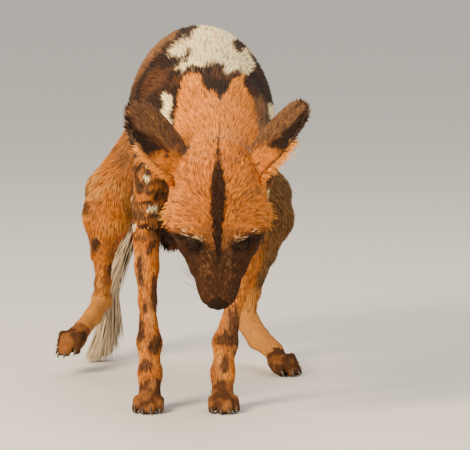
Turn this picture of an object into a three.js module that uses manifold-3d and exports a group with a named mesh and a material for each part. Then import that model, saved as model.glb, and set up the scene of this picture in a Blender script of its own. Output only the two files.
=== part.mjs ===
// A life-size African wild dog, standing half crouched with its head hung low: a still museum model.
// The dog looks towards -Y, so its right side is at -X. Millimetres, +Z up, the floor at Z = 0.
// Every fleshy part is a field of blended bones and sections, and a ring of rays finds its surface.
import * as THREE from 'three';
import { mergeVertices } from 'three/addons/utils/BufferGeometryUtils.js';
import Module from 'manifold-3d';

const wasm = await Module();
wasm.setup();

// Driving dimensions.
const gap = 0.4; // what touching parts keep between them
const headLength = 266; // nose tip to crown
const headTilt = 7.5; // degrees that the chin is tucked in from a plumb line
const earLength = 134;
const earHalfWidth = 49;
const earThickness = 6;
const eyeRadius = 10.5;
const forePaw = { length: 78, width: 55, height: 38, arch: 0.56 };
const hindPaw = { length: 74, width: 54, height: 43, arch: 0.7 };
const clawLength = 8;
const facetTolerance = 0.19; // how far a merged facet may lie from the surface
const pasternHeight = 58; // where the foreleg ends and its paw begins

const sides = { right: -1, left: 1 };
const at = (x, y, z) => new THREE.Vector3(x, y, z);
const mix = (a, b, t) => a + (b - a) * t;
const smooth = (t) => t * t * (3 - 2 * t);

// A small seeded generator, so that every build is the same.
function seeded(seed) {
  let state = seed;
  return () => {
    state = (state * 1664525 + 1013904223) % 4294967296;
    return state / 4294967296;
  };
}

// Fields: functions of a point, below zero inside the flesh.

// A round cone from a to b. flat thins it by a factor along a direction.
function bone(a, b, ra, rb, flat = null) {
  const ab = b.clone().sub(a);
  const span = ab.lengthSq();
  const d = new THREE.Vector3();
  const axis = flat && flat.along.clone().normalize();
  return (p) => {
    d.copy(p).sub(a);
    let t = THREE.MathUtils.clamp(d.dot(ab) / span, 0, 1);
    d.addScaledVector(ab, -t);
    if (flat) d.addScaledVector(axis, d.dot(axis) * (flat.by - 1));
    return d.length() - mix(ra, rb, t);
  };
}

function smoothMin(a, b, k) {
  const h = Math.max(k - Math.abs(a - b), 0) / k;
  return Math.min(a, b) - h * h * k * 0.25;
}

const blend = (k, ...fields) => (p) => fields.reduce((d, f) => smoothMin(d, f(p), k), Infinity);
const carve = (k, field, ...cuts) => (p) => cuts.reduce((d, f) => -smoothMin(-d, f(p), k), field(p));

// A smooth curve through a table of [place, value, value...] rows, read at any place.
function profile(rows) {
  const columns = rows[0].length - 1;
  return (place) => {
    const last = rows.length - 1;
    let i = rows.findIndex((row) => row[0] > place) - 1;
    if (place >= rows[last][0]) i = last - 1;
    i = Math.max(0, i);
    const [p0, p1, p2, p3] = [rows[Math.max(i - 1, 0)], rows[i], rows[i + 1], rows[Math.min(i + 2, last)]];
    const t = THREE.MathUtils.clamp((place - p1[0]) / (p2[0] - p1[0]), 0, 1);
    const out = [];
    for (let c = 1; c <= columns; c++) {
      const m1 = ((p2[c] - p0[c]) / (p2[0] - p0[0])) * (p2[0] - p1[0]);
      const m2 = ((p3[c] - p1[c]) / (p3[0] - p1[0])) * (p2[0] - p1[0]);
      const t2 = t * t;
      const t3 = t2 * t;
      out.push(
        (2 * t3 - 3 * t2 + 1) * p1[c] + (t3 - 2 * t2 + t) * m1 + (3 * t2 - 2 * t3) * p2[c] + (t3 - t2) * m2,
      );
    }
    return out;
  };
}

// Solids.

function solidOf(points, faces) {
  const geometry = new THREE.BufferGeometry();
  const places = points.flatMap((p) => [p.x, p.y, p.z]);
  geometry.setAttribute('position', new THREE.Float32BufferAttribute(places, 3));
  geometry.setIndex(faces);
  return solidOfGeometry(geometry);
}

function solidOfGeometry(geometry) {
  const bare = geometry.clone();
  bare.deleteAttribute('normal');
  bare.deleteAttribute('uv');
  const merged = mergeVertices(bare, 1e-3);
  const vertProperties = merged.attributes.position.array;
  const make = (triVerts) => new wasm.Manifold(new wasm.Mesh({ numProp: 3, vertProperties, triVerts }));
  const solid = make(new Uint32Array(merged.index.array));
  if (solid.volume() > 0) return solid;
  const turned = new Uint32Array(merged.index.array);
  for (let i = 0; i < turned.length; i += 3) [turned[i + 1], turned[i + 2]] = [turned[i + 2], turned[i + 1]];
  return make(turned);
}

const largest = (solid) => solid.decompose().sort((a, b) => b.volume() - a.volume())[0];

// Closed rings joined into one skin, with a point or a flat fan at each end.
function skinOfRings(rings, startPoint, endPoint) {
  const n = rings[0].length;
  const points = rings.flat();
  const faces = [];
  for (let r = 0; r + 1 < rings.length; r++)
    for (let i = 0; i < n; i++) {
      const [a, b] = [r * n + i, r * n + ((i + 1) % n)];
      faces.push(a, b, a + n, b, b + n, a + n);
    }
  const middle = (ring) => ring.reduce((s, p) => s.add(p), at(0, 0, 0)).divideScalar(n);
  const start = points.push(startPoint || middle(rings[0])) - 1;
  const end = points.push(endPoint || middle(rings[rings.length - 1])) - 1;
  const base = (rings.length - 1) * n;
  for (let i = 0; i < n; i++) {
    faces.push(start, (i + 1) % n, i);
    faces.push(end, base + i, base + ((i + 1) % n));
  }
  return solidOf(points, faces);
}

// Where a ray from the middle of the flesh meets its surface.
function surfaceAlong(field, from, direction, level = 0) {
  const p = new THREE.Vector3();
  const value = (r) => field(p.copy(from).addScaledVector(direction, r)) - level;
  let far = 1;
  while (value(far) < 0 && far < 400) far += 4;
  let near = far - 4;
  for (let i = 0; i < 18; i++) {
    const half = (near + far) / 2;
    if (value(half) < 0) near = half;
    else far = half;
  }
  return from.clone().addScaledVector(direction, Math.max(near, 0.4));
}

// A skin over a field: rings square to a spine curve at the given shares of its length.
function castSkin(field, spine, shares, segments, options = {}) {
  const { up = at(0, 0, 1), level = 0, startPole = false, endPole = false } = options;
  const rings = shares.map((share) => {
    const centre = spine.getPointAt(share);
    const ahead = options.ringNormal || spine.getTangentAt(share);
    const u = up.clone().addScaledVector(ahead, -up.dot(ahead)).normalize();
    const w = ahead.clone().cross(u).normalize();
    return Array.from({ length: segments }, (_, i) => {
      const angle = (2 * Math.PI * (i + 0.5)) / segments;
      const ray = u.clone().multiplyScalar(Math.cos(angle)).addScaledVector(w, Math.sin(angle));
      return surfaceAlong(field, centre, ray, level);
    });
  });
  const poleAt = (share, sign) =>
    surfaceAlong(field, spine.getPointAt(share), spine.getTangentAt(share).multiplyScalar(sign), level);
  const first = shares[0];
  const last = shares[shares.length - 1];
  return skinOfRings(rings, startPole && poleAt(first, -1), endPole && poleAt(last, 1));
}

const evenly = (from, to, count) => Array.from({ length: count }, (_, i) => mix(from, to, i / (count - 1)));
const curveOf = (points) => new THREE.CatmullRomCurve3(points, false, 'centripetal');

// A curved plate from an outer and an inner sheet of points, closed round its border.
function plateOf(outer, inner) {
  const rows = outer.length;
  const columns = outer[0].length;
  const points = [...outer.flat(), ...inner.flat()];
  const back = rows * columns;
  const id = (r, c) => r * columns + c;
  const faces = [];
  const quad = (a, b, c, d) => faces.push(a, b, c, a, c, d);
  for (let r = 0; r + 1 < rows; r++)
    for (let c = 0; c + 1 < columns; c++) {
      quad(id(r, c), id(r, c + 1), id(r + 1, c + 1), id(r + 1, c));
      quad(back + id(r, c), back + id(r + 1, c), back + id(r + 1, c + 1), back + id(r, c + 1));
    }
  const rim = [
    ...Array.from({ length: columns - 1 }, (_, c) => [0, c]),
    ...Array.from({ length: rows - 1 }, (_, r) => [r, columns - 1]),
    ...Array.from({ length: columns - 1 }, (_, c) => [rows - 1, columns - 1 - c]),
    ...Array.from({ length: rows - 1 }, (_, r) => [rows - 1 - r, 0]),
  ].map(([r, c]) => id(r, c));
  rim.forEach((a, i) => {
    const b = rim[(i + 1) % rim.length];
    quad(a, back + a, back + b, b);
  });
  return solidOf(points, faces);
}

// A flat tapered lock of hair along a bent line: wide at the root third, a point at the tip.
function lockOf(root, lie, lift, length, width, thickness, bend) {
  const across = lie.clone().cross(lift).normalize();
  const rings = [0, 0.35, 0.7].map((t) => {
    const centre = root.clone().addScaledVector(lie, length * t).addScaledVector(bend, length * t * t);
    const w = (width / 2) * (t < 0.5 ? 1 : 0.72);
    const h = (thickness / 2) * (1 - 0.45 * t);
    return [
      centre.clone().addScaledVector(across, w),
      centre.clone().addScaledVector(lift, h),
      centre.clone().addScaledVector(across, -w),
      centre.clone().addScaledVector(lift, -h),
    ];
  });
  const tip = root.clone().addScaledVector(lie, length).addScaledVector(bend, length);
  return skinOfRings(rings, null, tip);
}

// The torso: [Y, middle X, top Z, bottom Z, half width] down its length.
const torsoRows = [
  [-72, 13, 432, 398, 12],
  [-58, 12, 462, 362, 46],
  [-30, 11, 498, 320, 72],
  [0, 10, 524, 292, 87],
  [60, 8, 558, 270, 103],
  [130, 4, 588, 268, 115],
  [200, 1, 606, 280, 121],
  [260, -1, 612, 294, 121],
  [330, -6, 606, 308, 112],
  [400, -14, 586, 322, 100],
  [460, -22, 553, 340, 89],
  [520, -29, 508, 362, 74],
  [570, -34, 462, 384, 54],
  [598, -35, 432, 406, 14],
];
const torsoAt = profile(torsoRows);

function torsoField(p) {
  const [x, top, bottom, half] = torsoAt(p.y);
  const middle = (top + bottom) / 2;
  const height = (top - bottom) / 2;
  const keel = 1 - 0.2 * THREE.MathUtils.clamp((middle - p.z) / height, 0, 1);
  const out = Math.hypot((p.x - x) / (half * keel), (p.z - middle) / height);
  const last = torsoRows[torsoRows.length - 1][0];
  return Math.max((out - 1) * Math.min(half, height), p.y - last, torsoRows[0][0] - p.y);
}

// The legs, joint by joint, and the direction in which each paw points.
const foreJoints = {
  right: [
    [-58, 62, 470],
    [-80, -26, 395],
    [-89, 44, 300],
    [-88, 26, 235],
    [-87, 15, 178],
    [-84, 7, 112],
    [-83, 2, 62],
    [-83, -3, 32],
  ],
  left: [
    [66, 62, 470],
    [90, -26, 395],
    [84, 44, 300],
    [69, 26, 235],
    [56, 15, 178],
    [41, 7, 112],
    [37, 2, 62],
    [36, -3, 32],
  ],
};
const hindJoints = {
  right: [
    [-68, 492, 406],
    [-164, 412, 274],
    [-171, 462, 205],
    [-172, 512, 148],
    [-175, 540, 112],
    [-190, 486, 89],
    [-206, 438, 75],
  ],
  left: [
    [14, 492, 406],
    [118, 442, 266],
    [110, 482, 204],
    [88, 516, 130],
    [77, 536, 77],
    [98, 482, 52],
    [124, 428, 38],
  ],
};
const foreRadii = [42, 42, 22, 18, 14, 20, 18.5, 17];
const hindRadii = [72, 40, 19, 12.5, 16, 15.5, 16];
const vectors = (rows) => rows.map((row) => at(...row));

function chainField(k, joints, radii) {
  return blend(k, ...joints.slice(1).map((b, i) => bone(joints[i], b, radii[i], radii[i + 1])));
}

// Shoulder blade and upper arm lie flat on the ribs, the triceps behind them, then the forearm and wrist.
function foreField(word) {
  const j = vectors(foreJoints[word]);
  const lateral = { along: at(1, 0, 0), by: 1.5 };
  return blend(
    14,
    chainField(14, j.slice(2), foreRadii.slice(2)),
    bone(j[0], j[1], foreRadii[0], foreRadii[1], lateral),
    bone(j[1], j[2], foreRadii[1] * 0.84, foreRadii[2] * 1.15, { along: at(1, 0, 0), by: 1.2 }),
    bone(at(j[0].x * 1.12, 34, 430), at(j[2].x * 0.98, 32, 345), 58, 46, { along: at(1, 0, 0), by: 1.75 }),
    bone(at(j[0].x, 90, 440), j[2].clone().add(at(0, 14, 6)), 50, 24, lateral),
    bone(j[2].clone().add(at(0, -12, -20)), j[4].clone().add(at(0, -3, 10)), 21, 12),
  );
}

function foreSolid(word, level = 0) {
  const rows = foreJoints[word];
  const [top, elbow] = [rows[0][0], rows[2][0]];
  const above = [[45, 566], [40, 520], [20, 440], [14, 380], [34, 300]];
  const spine = curveOf([
    ...above.map(([y, z], i) => at(mix(top, elbow, i / 4), y, z)),
    ...vectors(rows.slice(3)),
  ]);
  const shares = [0.03, 0.07, ...evenly(0.12, 0.92, 19), 0.96];
  return castSkin(foreField(word), spine, shares, 18, { up: at(0, -1, 0), ringNormal: at(0, 0, -1), level });
}

// Haunch: the wide thigh with the hamstrings behind it.
function thighSolid(word, level = 0) {
  const s = sides[word];
  const [hip, knee] = vectors(hindJoints[word]);
  const field = blend(
    24,
    bone(hip, knee, hindRadii[0], hindRadii[1], { along: at(s, 0.35, 0.35), by: 1.22 }),
    bone(at(hip.x - s * 8, 552, 400), knee.clone().add(at(-s * 22, 48, -2)), 50, 27),
    bone(hip.clone().add(at(s * 12, -8, -24)), knee.clone().add(at(-s * 8, 28, 38)), 54, 46),
  );
  const spine = new THREE.LineCurve3(hip.clone().add(at(-s * 20, 20, 40)), knee.clone().add(at(0, 12, -4)));
  const options = { up: at(0, -1, 0), level, startPole: true, endPole: true };
  return castSkin(field, spine, evenly(0, 1, 12), 24, options);
}

// Second thigh: the calf, the tendon and the point of the hock.
function shankSolid(word, level = 0) {
  const s = sides[word];
  const j = vectors(hindJoints[word]);
  const heel = j[4].clone().add(at(0, 18, 14));
  const field = blend(
    12,
    chainField(12, j.slice(1, 5), hindRadii.slice(1, 5)),
    bone(j[1].clone().add(at(-s * 10, 40, -24)), j[2].clone().add(at(-s * 3, 18, 0)), 26, 14),
    bone(j[2].clone().add(at(0, 18, 0)), heel, 10, 8),
    bone(j[4], heel, 12, 10),
  );
  const behind = [at(0, 8, -6), at(0, 6, 0), at(0, 4, 0), at(0, 4, 0)];
  const spine = curveOf(behind.map((step, i) => j[i + 1].clone().add(step)));
  const options = { up: at(0, -1, 0), level, startPole: true, endPole: true };
  return castSkin(field, spine, evenly(0, 1, 15), 16, options);
}

// A paw: a padded mitten, four knuckled toes and four claws. It points ahead from the point under its wrist.
function pawSolid(sole, ahead, size, wrist, pasternRadius, flatOnFloor) {
  const forward = ahead.clone().normalize();
  const up = at(0, 0, 1).addScaledVector(forward, -forward.z).normalize();
  const across = forward.clone().cross(up).normalize();
  const place = (f, a, u) =>
    sole.clone().addScaledVector(forward, f).addScaledVector(across, a).addScaledVector(up, u);
  const { length, width, height, arch } = size;
  const toes = [-1.5, -0.5, 0.5, 1.5].map((n) => {
    const reach = length * (Math.abs(n) > 1 ? 0.6 : 0.76);
    const spread = n * width * 0.245;
    return {
      knuckle: place(reach - 24, spread * 0.9, height * arch),
      tip: place(reach - 8, spread, height * 0.175),
      root: place(reach - 10, spread, height * 0.26),
    };
  });
  const mitten = blend(
    6,
    bone(place(8, 0, height * 0.54), place(length * 0.3, 0, height * 0.44), width * 0.36, width * 0.38, {
      along: up,
      by: 1.25,
    }),
    bone(place(length * 0.1, 0, 10), place(length * 0.28, 0, 9), width * 0.22, width * 0.24),
    ...toes.map(({ knuckle, tip }) => bone(knuckle, tip, width * 0.16, width * 0.145)),
  );
  const spine = new THREE.LineCurve3(place(0, 0, height * 0.5), place(length * 0.68, 0, height * 0.3));
  let paw = castSkin(mitten, spine, evenly(0, 0.98, 9), 20, { up, startPole: true, endPole: true });
  const heel = place(7, 0, height * 0.5);
  const pastern = new THREE.LineCurve3(wrist, heel);
  const ankle = bone(wrist, heel, pasternRadius, width * 0.33);
  paw = paw.add(castSkin(ankle, pastern, evenly(0, 1, 3), 14, { up: forward, startPole: true }));
  toes.forEach(({ root }) => {
    const lie = forward.clone().addScaledVector(up, -0.42).normalize();
    const raise = across.clone().cross(lie).normalize();
    paw = paw.add(lockOf(root, lie, raise, clawLength + 9, 7, 8, up.clone().multiplyScalar(-0.1)));
  });
  return flatOnFloor ? paw.trimByPlane([0, 0, 1], 0) : paw;
}

function forePawSolid(word) {
  const [x] = foreJoints[word][7];
  return pawSolid(at(x, 0, 0), at(sides[word] * 0.08, -1, 0), forePaw, at(x + 0.8, 2, 66), 18.5, true);
}

// The hind foot: the long metatarsus from the hock, and the paw.
const hindPawAhead = { right: at(-31, -40, -14), left: at(34, -42, 0) };
const hindSole = { right: at(-207, 424, 46), left: at(127, 418, 0) };
const instepRadii = { right: [16, 16, 16.5], left: [22, 20.5, 18] };

function hindFootSolid(word, level = 0) {
  const j = vectors(hindJoints[word]);
  const instep = chainField(8, [j[4], j[5], j[6]], instepRadii[word]);
  const spine = curveOf([j[4], j[5], j[6]]);
  const options = { up: at(0, 0, 1), level, startPole: true, endPole: true };
  const long = castSkin(instep, spine, evenly(0, 1, 6), 14, options);
  return long.add(pawSolid(hindSole[word], hindPawAhead[word], hindPaw, j[6], 15, word === 'left'));
}

// The head, in its own frame: rise runs from the nose to the crown, brow out of the forehead.
const tilt = THREE.MathUtils.degToRad(headTilt);
const noseTip = at(30, -186, 196);
const rise = at(0, -Math.sin(tilt), Math.cos(tilt));
const brow = at(0, -Math.cos(tilt), -Math.sin(tilt));
const onHead = (t, x, n) =>
  noseTip.clone().addScaledVector(rise, t).addScaledVector(brow, n).add(at(x, 0, 0));
// [distance from the nose tip, half width, height to the forehead side, depth to the throat side]
const headRows = [
  [-1, 9, 5, 6],
  [5, 19, 12, 16],
  [14, 25, 18, 24],
  [28, 32, 22.5, 31],
  [49, 36, 25, 35],
  [73, 42, 28, 38],
  [96, 51, 33, 44],
  [115, 64, 41, 50],
  [139, 75, 50, 57],
  [162, 79, 56, 63],
  [183, 78, 58, 66],
  [205, 72, 56, 64],
  [230, 61, 49, 56],
  [252, 46, 38, 44],
  [headLength + 6, 16, 14, 16],
];
const headAt = profile(headRows);

function headShape(p) {
  const d = p.clone().sub(noseTip);
  const [half, up, down] = headAt(d.dot(rise));
  const n = d.dot(brow);
  const height = n > 0 ? up : down;
  const q = 2.3;
  const out = (Math.abs(d.x / half) ** q + Math.abs(n / height) ** q) ** (1 / q);
  const t = d.dot(rise);
  return Math.max((out - 1) * Math.min(half, height), t - headLength - 6, -1 - t);
}

const eyeAt = (side) => onHead(112, side * 39, 27);
const headField = carve(
  9,
  blend(
    12,
    headShape,
    ...Object.values(sides).flatMap((s) => [
      bone(onHead(128, s * 32, 34), onHead(132, s * 54, 20), 13, 12), // brow ridge
      bone(onHead(104, s * 50, 12), onHead(150, s * 68, 2), 11, 14), // cheekbone
      bone(onHead(20, s * 15, 6), onHead(78, s * 22, -6), 14, 19), // upper lip
      bone(onHead(102, s * 47, 8), onHead(64, s * 34, 2), 13, 11), // cheek below the eye
    ]),
  ),
  ...Object.values(sides).map((s) => bone(onHead(104, s * 30, 48), onHead(113, s * 54, 37), 10, 10)),
);

function ballSolid(centre, radius) {
  const ball = new THREE.SphereGeometry(radius, 12, 8);
  ball.translate(...centre.toArray());
  return solidOfGeometry(ball);
}

const eyeSolid = (side, radius) => ballSolid(eyeAt(side), radius);

// The part of a ball round the eye on one side of a plane through both corners of the eye.
function lidSolid(side, opening, upper) {
  const corners = at(side * 0.85, 0, 0).addScaledVector(rise, 0.4).addScaledVector(brow, -0.3).normalize();
  const gaze = at(side * 0.42, 0, 0).addScaledVector(brow, 0.86).addScaledVector(rise, -0.12);
  gaze.addScaledVector(corners, -gaze.dot(corners)).normalize();
  const over = rise.clone().addScaledVector(corners, -rise.dot(corners));
  over.addScaledVector(gaze, -over.dot(gaze)).normalize();
  const angle = THREE.MathUtils.degToRad(opening);
  const normal = over.multiplyScalar(Math.cos(angle)).addScaledVector(gaze, -Math.sin(angle));
  if (!upper) normal.negate();
  const lid = ballSolid(eyeAt(side).addScaledVector(gaze, 0.4), eyeRadius + gap + (upper ? 3.2 : 2.6));
  return lid.trimByPlane(normal.toArray(), normal.dot(eyeAt(side)));
}

// A thin strand swept through points, which cuts the line of the mouth.
function strand(points, radius, depth = 0) {
  const curve = curveOf(points);
  const shares = evenly(0, 1, points.length + 1);
  const rings = shares.map((share) => {
    const ahead = curve.getTangentAt(share);
    const centre = curve.getPointAt(share);
    const u = brow.clone().addScaledVector(ahead, -brow.dot(ahead)).normalize();
    const w = ahead.clone().cross(u);
    const taper = 0.45 + 0.55 * Math.sin(Math.PI * mix(0.06, 0.94, share));
    return Array.from({ length: 4 }, (_, i) => {
      const angle = (Math.PI * i) / 2;
      return centre
        .clone()
        .addScaledVector(u, Math.cos(angle) * (radius + depth) * taper)
        .addScaledVector(w, Math.sin(angle) * radius * taper);
    });
  });
  return skinOfRings(rings);
}

const onSkin = (t, x, direction) => surfaceAlong(headField, onHead(t, 0, 0), direction);
const headSpine = new THREE.LineCurve3(onHead(0, 0, 0), onHead(headLength, 0, 0));
const headShares = [
  0.01, 0.035, 0.07, 0.12, 0.18, 0.24, 0.3, 0.35, 0.39, 0.42, 0.45, 0.49, 0.54, 0.6, 0.67, 0.75,
  0.83, 0.91, 0.97,
];
const headCast = (level) =>
  castSkin(headField, headSpine, headShares, 28, { up: brow, level, startPole: true, endPole: true });

function headSolid() {
  let head = headCast(0);
  for (const s of Object.values(sides)) {
    head = head.add(lidSolid(s, 14, true)).add(lidSolid(s, -24, false));
    head = head.subtract(eyeSolid(s, eyeRadius + gap));
    // The line of the mouth.
    const lip = [[8, 0.52], [20, 0.45], [38, 0.42], [58, 0.4], [80, 0.36], [100, 0.3]].map(([t, drop]) => {
      const aside = at(s * Math.cos(drop * 1.4), 0, 0);
      return onSkin(t, 0, aside.addScaledVector(brow, -Math.sin(drop * 1.4)).normalize());
    });
    head = head.subtract(strand(lip, 1.6, 1.4));
  }
  return largest(head);
}

// The bare nose pad caps the muzzle's end, with two comma nostrils.
const noseField = blend(
  7,
  bone(onHead(10, -8.5, 10), onHead(10, 8.5, 10), 11, 11),
  bone(onHead(20, 0, 13), onHead(12, 0, 12), 8, 10),
  bone(onHead(6, 0, 4), onHead(3, 0, -9), 9.5, 5),
);

function noseSolid(level = 0) {
  const spine = new THREE.LineCurve3(onHead(-5, 0, 6), onHead(28, 0, 9));
  const options = { up: brow, level, startPole: true, endPole: true };
  return castSkin(noseField, spine, evenly(0.12, 0.86, 7), 18, options);
}

function nostril(s) {
  const hollow = bone(onHead(-1.5, s * 7.5, 11), onHead(9, s * 17, 11), 3.4, 2.6);
  const spine = new THREE.LineCurve3(onHead(-4, s * 6, 11), onHead(11, s * 19, 11));
  return castSkin(hollow, spine, evenly(0.1, 0.9, 4), 8, { up: brow, startPole: true, endPole: true });
}

// An ear: a broad round cup that opens sideways, down and away from the face. The left one stands a
// little straighter and opens less far back.
const earLie = {
  right: { along: at(-0.6, 0.03, 0.8), open: at(-0.66, 0.5, -0.52) },
  left: { along: at(0.57, 0.03, 0.83), open: at(0.72, 0.32, -0.56) },
};
const earAxes = (s) => {
  const lie = s > 0 ? earLie.left : earLie.right;
  const along = lie.along.clone().normalize();
  const open = lie.open.clone();
  open.addScaledVector(along, -open.dot(along)).normalize();
  const across = along.clone().cross(open).multiplyScalar(s);
  return { root: at(30 + s * 58, -208, 416), along, open, across };
};
// [share of the length, half width as a share, depth of the cup as a share of the half width]
const earAt = profile([
  [-0.12, 0.46, 0.9],
  [0, 0.54, 0.84],
  [0.2, 0.78, 0.64],
  [0.42, 0.96, 0.46],
  [0.62, 1, 0.35],
  [0.8, 0.9, 0.29],
  [0.92, 0.68, 0.25],
  [1, 0.3, 0.2],
]);

function earPoint(s, share, across, inward) {
  const axes = earAxes(s);
  const [width, depth] = earAt(share);
  const half = earHalfWidth * width;
  const angle = across * Math.PI * 0.5;
  const bowl = half * depth;
  const out = -bowl * Math.cos(angle) + inward;
  return axes.root
    .clone()
    .addScaledVector(axes.along, share * earLength)
    .addScaledVector(axes.across, (half - Math.max(inward, 0) * 0.5) * Math.sin(angle))
    .addScaledVector(axes.open, out + share * share * 6);
}

function earSolid(s) {
  const shares = [-0.12, 0.02, 0.18, 0.34, 0.5, 0.66, 0.8, 0.9, 0.96, 1];
  const columns = evenly(-1, 1, 11);
  const sheet = (inward) =>
    shares.map((share) => columns.map((c) => earPoint(s, share, c, inward(share, c))));
  const wall = (share, c) => earThickness * (1 - 0.45 * share) * (1 - 0.4 * Math.abs(c) ** 3);
  return plateOf(sheet(() => 0), sheet(wall));
}

// The neck comes down from the withers and forward to the back of the skull.
const neckField = blend(
  30,
  bone(at(8, 70, 452), at(28, -50, 424), 100, 76),
  bone(at(28, -50, 424), at(30, -170, 404), 76, 61),
  bone(at(30, -170, 404), at(30, -214, 402), 61, 56),
);

// The tail hangs to the dog's right, its white brush just touching the floor.
const tailLine = curveOf([
  at(-34, 548, 438),
  at(-40, 590, 414),
  at(-60, 624, 362),
  at(-94, 636, 288),
  at(-128, 626, 214),
  at(-153, 610, 152),
  at(-159, 596, 102),
  at(-169, 582, 56),
  at(-182, 568, 22),
  at(-188, 562, -8),
]);
// [share of the tail's length, radius]
const tailAt = profile([
  [0, 30],
  [0.1, 25],
  [0.25, 18],
  [0.43, 14],
  [0.52, 10.5],
  [0.75, 9.5],
  [0.93, 8.5],
  [1, 7.5],
]);
const tailSides = 10;
const brushStart = 0.43; // share of the tail's length where its long hair begins
const brushLocks = { rings: 6, perRing: 4, length: 96, width: 27, thickness: 6 };

function tailCore(from, to, count, level = 0) {
  const rings = evenly(from, to, count).map((share) => {
    const centre = tailLine.getPointAt(share);
    const ahead = tailLine.getTangentAt(share);
    const u = at(1, 0, 0).addScaledVector(ahead, -ahead.x).normalize();
    const w = ahead.clone().cross(u);
    return Array.from({ length: tailSides }, (_, i) => {
      const angle = (2 * Math.PI * i) / tailSides;
      const ray = u.clone().multiplyScalar(Math.cos(angle)).addScaledVector(w, Math.sin(angle));
      return centre.clone().addScaledVector(ray, tailAt(share)[0] + level);
    });
  });
  return skinOfRings(rings);
}

// The brush: locks in rings round the core, each rooted in it and lying down the tail over the next.
function brushSolid() {
  const draw = seeded(7);
  const { rings, perRing, length, width, thickness } = brushLocks;
  let brush = tailCore(brushStart + gap / tailLine.getLength(), 1, 9);
  for (let ring = 0; ring < rings; ring++) {
    const share = mix(brushStart + 0.03, 0.9, ring / (rings - 1));
    const ahead = tailLine.getTangentAt(share);
    const centre = tailLine.getPointAt(share);
    const u = at(1, 0, 0).addScaledVector(ahead, -ahead.x).normalize();
    const w = ahead.clone().cross(u);
    for (let i = 0; i < perRing; i++) {
      const angle = (2 * Math.PI * (i + (ring % 2) / 2 + 0.3 * (draw() - 0.5))) / perRing;
      const out = u.clone().multiplyScalar(Math.cos(angle)).addScaledVector(w, Math.sin(angle));
      const root = centre.clone().addScaledVector(out, tailAt(share)[0] - 4);
      const lie = ahead.clone().addScaledVector(out, mix(0.3, 0.42, draw())).normalize();
      const lift = out.clone().addScaledVector(lie, -out.dot(lie)).normalize();
      const fullness = 0.62 + 0.38 * Math.sin(Math.PI * Math.min(1, (ring + 1) / 5));
      const full = length * fullness * mix(0.9, 1.1, draw());
      const bend = out.clone().multiplyScalar(-0.2);
      brush = brush.add(lockOf(root, lie, lift, full, width * mix(0.85, 1.1, draw()), thickness, bend));
    }
  }
  return brush;
}

// Materials.
const finish = (color, roughness) => new THREE.MeshStandardMaterial({ color, roughness, metalness: 0 });
const materials = {
  coat: finish(0xb87a45, 0.9),
  whiteCoat: finish(0xd8cbb4, 0.9),
  darkCoat: finish(0x3a2a20, 0.9),
  nose: finish(0x17120f, 0.45),
  eye: finish(0x2a1509, 0.08),
};

const dog = new THREE.Group();

function addPart(name, solid, material) {
  const mesh = solid.simplify(facetTolerance).getMesh();
  const geometry = new THREE.BufferGeometry();
  geometry.setAttribute('position', new THREE.BufferAttribute(new Float32Array(mesh.vertProperties), 3));
  geometry.setIndex(new THREE.BufferAttribute(new Uint32Array(mesh.triVerts), 1));
  geometry.computeVertexNormals();
  const part = new THREE.Mesh(geometry, material);
  part.name = name;
  dog.add(part);
}

// Torso, with the sheath under the belly.
const torsoMiddles = torsoRows.slice(1, -1).map(([y, x, top, bottom]) => at(x, y, (top + bottom) / 2));
const torsoSpine = curveOf(torsoMiddles);
const torsoShares = [0, 0.03, ...evenly(0.075, 0.93, 15), 0.975, 1];
const sheathEnds = [at(-35, 456, 350), at(-50, 352, 250)];

function torsoSolid(level = 0) {
  const options = { ringNormal: at(0, 1, 0), level, startPole: true, endPole: true };
  const barrel = castSkin(torsoField, torsoSpine, torsoShares, 28, options);
  const sheathSpine = new THREE.LineCurve3(...sheathEnds);
  const sheathShape = bone(...sheathEnds, 28, 21.5);
  const sheath = castSkin(sheathShape, sheathSpine, evenly(0, 1, 5), 12, { level, endPole: true });
  return barrel.add(sheath);
}

const torsoGrown = torsoSolid(gap);
addPart('torso', torsoSolid(), materials.coat);

const headGrown = headCast(gap);
addPart('head', largest(headSolid().subtract(noseSolid(gap))), materials.coat);
addPart('nose', largest(noseSolid().subtract(nostril(-1)).subtract(nostril(1))), materials.nose);

const neckSpine = new THREE.LineCurve3(at(8, 60, 452), at(30, -200, 402));
const neckCast = (level) => castSkin(neckField, neckSpine, evenly(0, 1, 11), 24, { level, endPole: true });
const neckGrown = neckCast(gap);
addPart('neck', largest(neckCast(0).subtract(torsoGrown).subtract(headGrown)), materials.coat);
for (const [word, s] of Object.entries(sides)) {
  addPart('eye_' + word, eyeSolid(s, eyeRadius), materials.eye);
  addPart('ear_' + word, largest(earSolid(s).subtract(headGrown).subtract(neckGrown)), materials.darkCoat);
}

for (const [word, s] of Object.entries(sides)) {
  const foreleg = foreSolid(word).subtract(torsoGrown).subtract(neckGrown);
  addPart('foreleg_' + word, largest(foreleg.trimByPlane([0, 0, 1], pasternHeight)), materials.coat);
  const forepaw = forePawSolid(word).trimByPlane([0, 0, -1], gap - pasternHeight);
  addPart('forepaw_' + word, largest(forepaw), materials.coat);
  const hipLine = torsoRows[10][1];
  const thigh = largest(thighSolid(word).subtract(torsoGrown).trimByPlane([s, 0, 0], s * hipLine + gap));
  addPart('thigh_' + word, thigh, materials.coat);
  const shank = largest(shankSolid(word).subtract(thighSolid(word, gap)).subtract(torsoGrown));
  addPart('shank_' + word, shank, materials.coat);
  addPart('hindfoot_' + word, largest(hindFootSolid(word).subtract(shankSolid(word, gap))), materials.coat);
}

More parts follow.
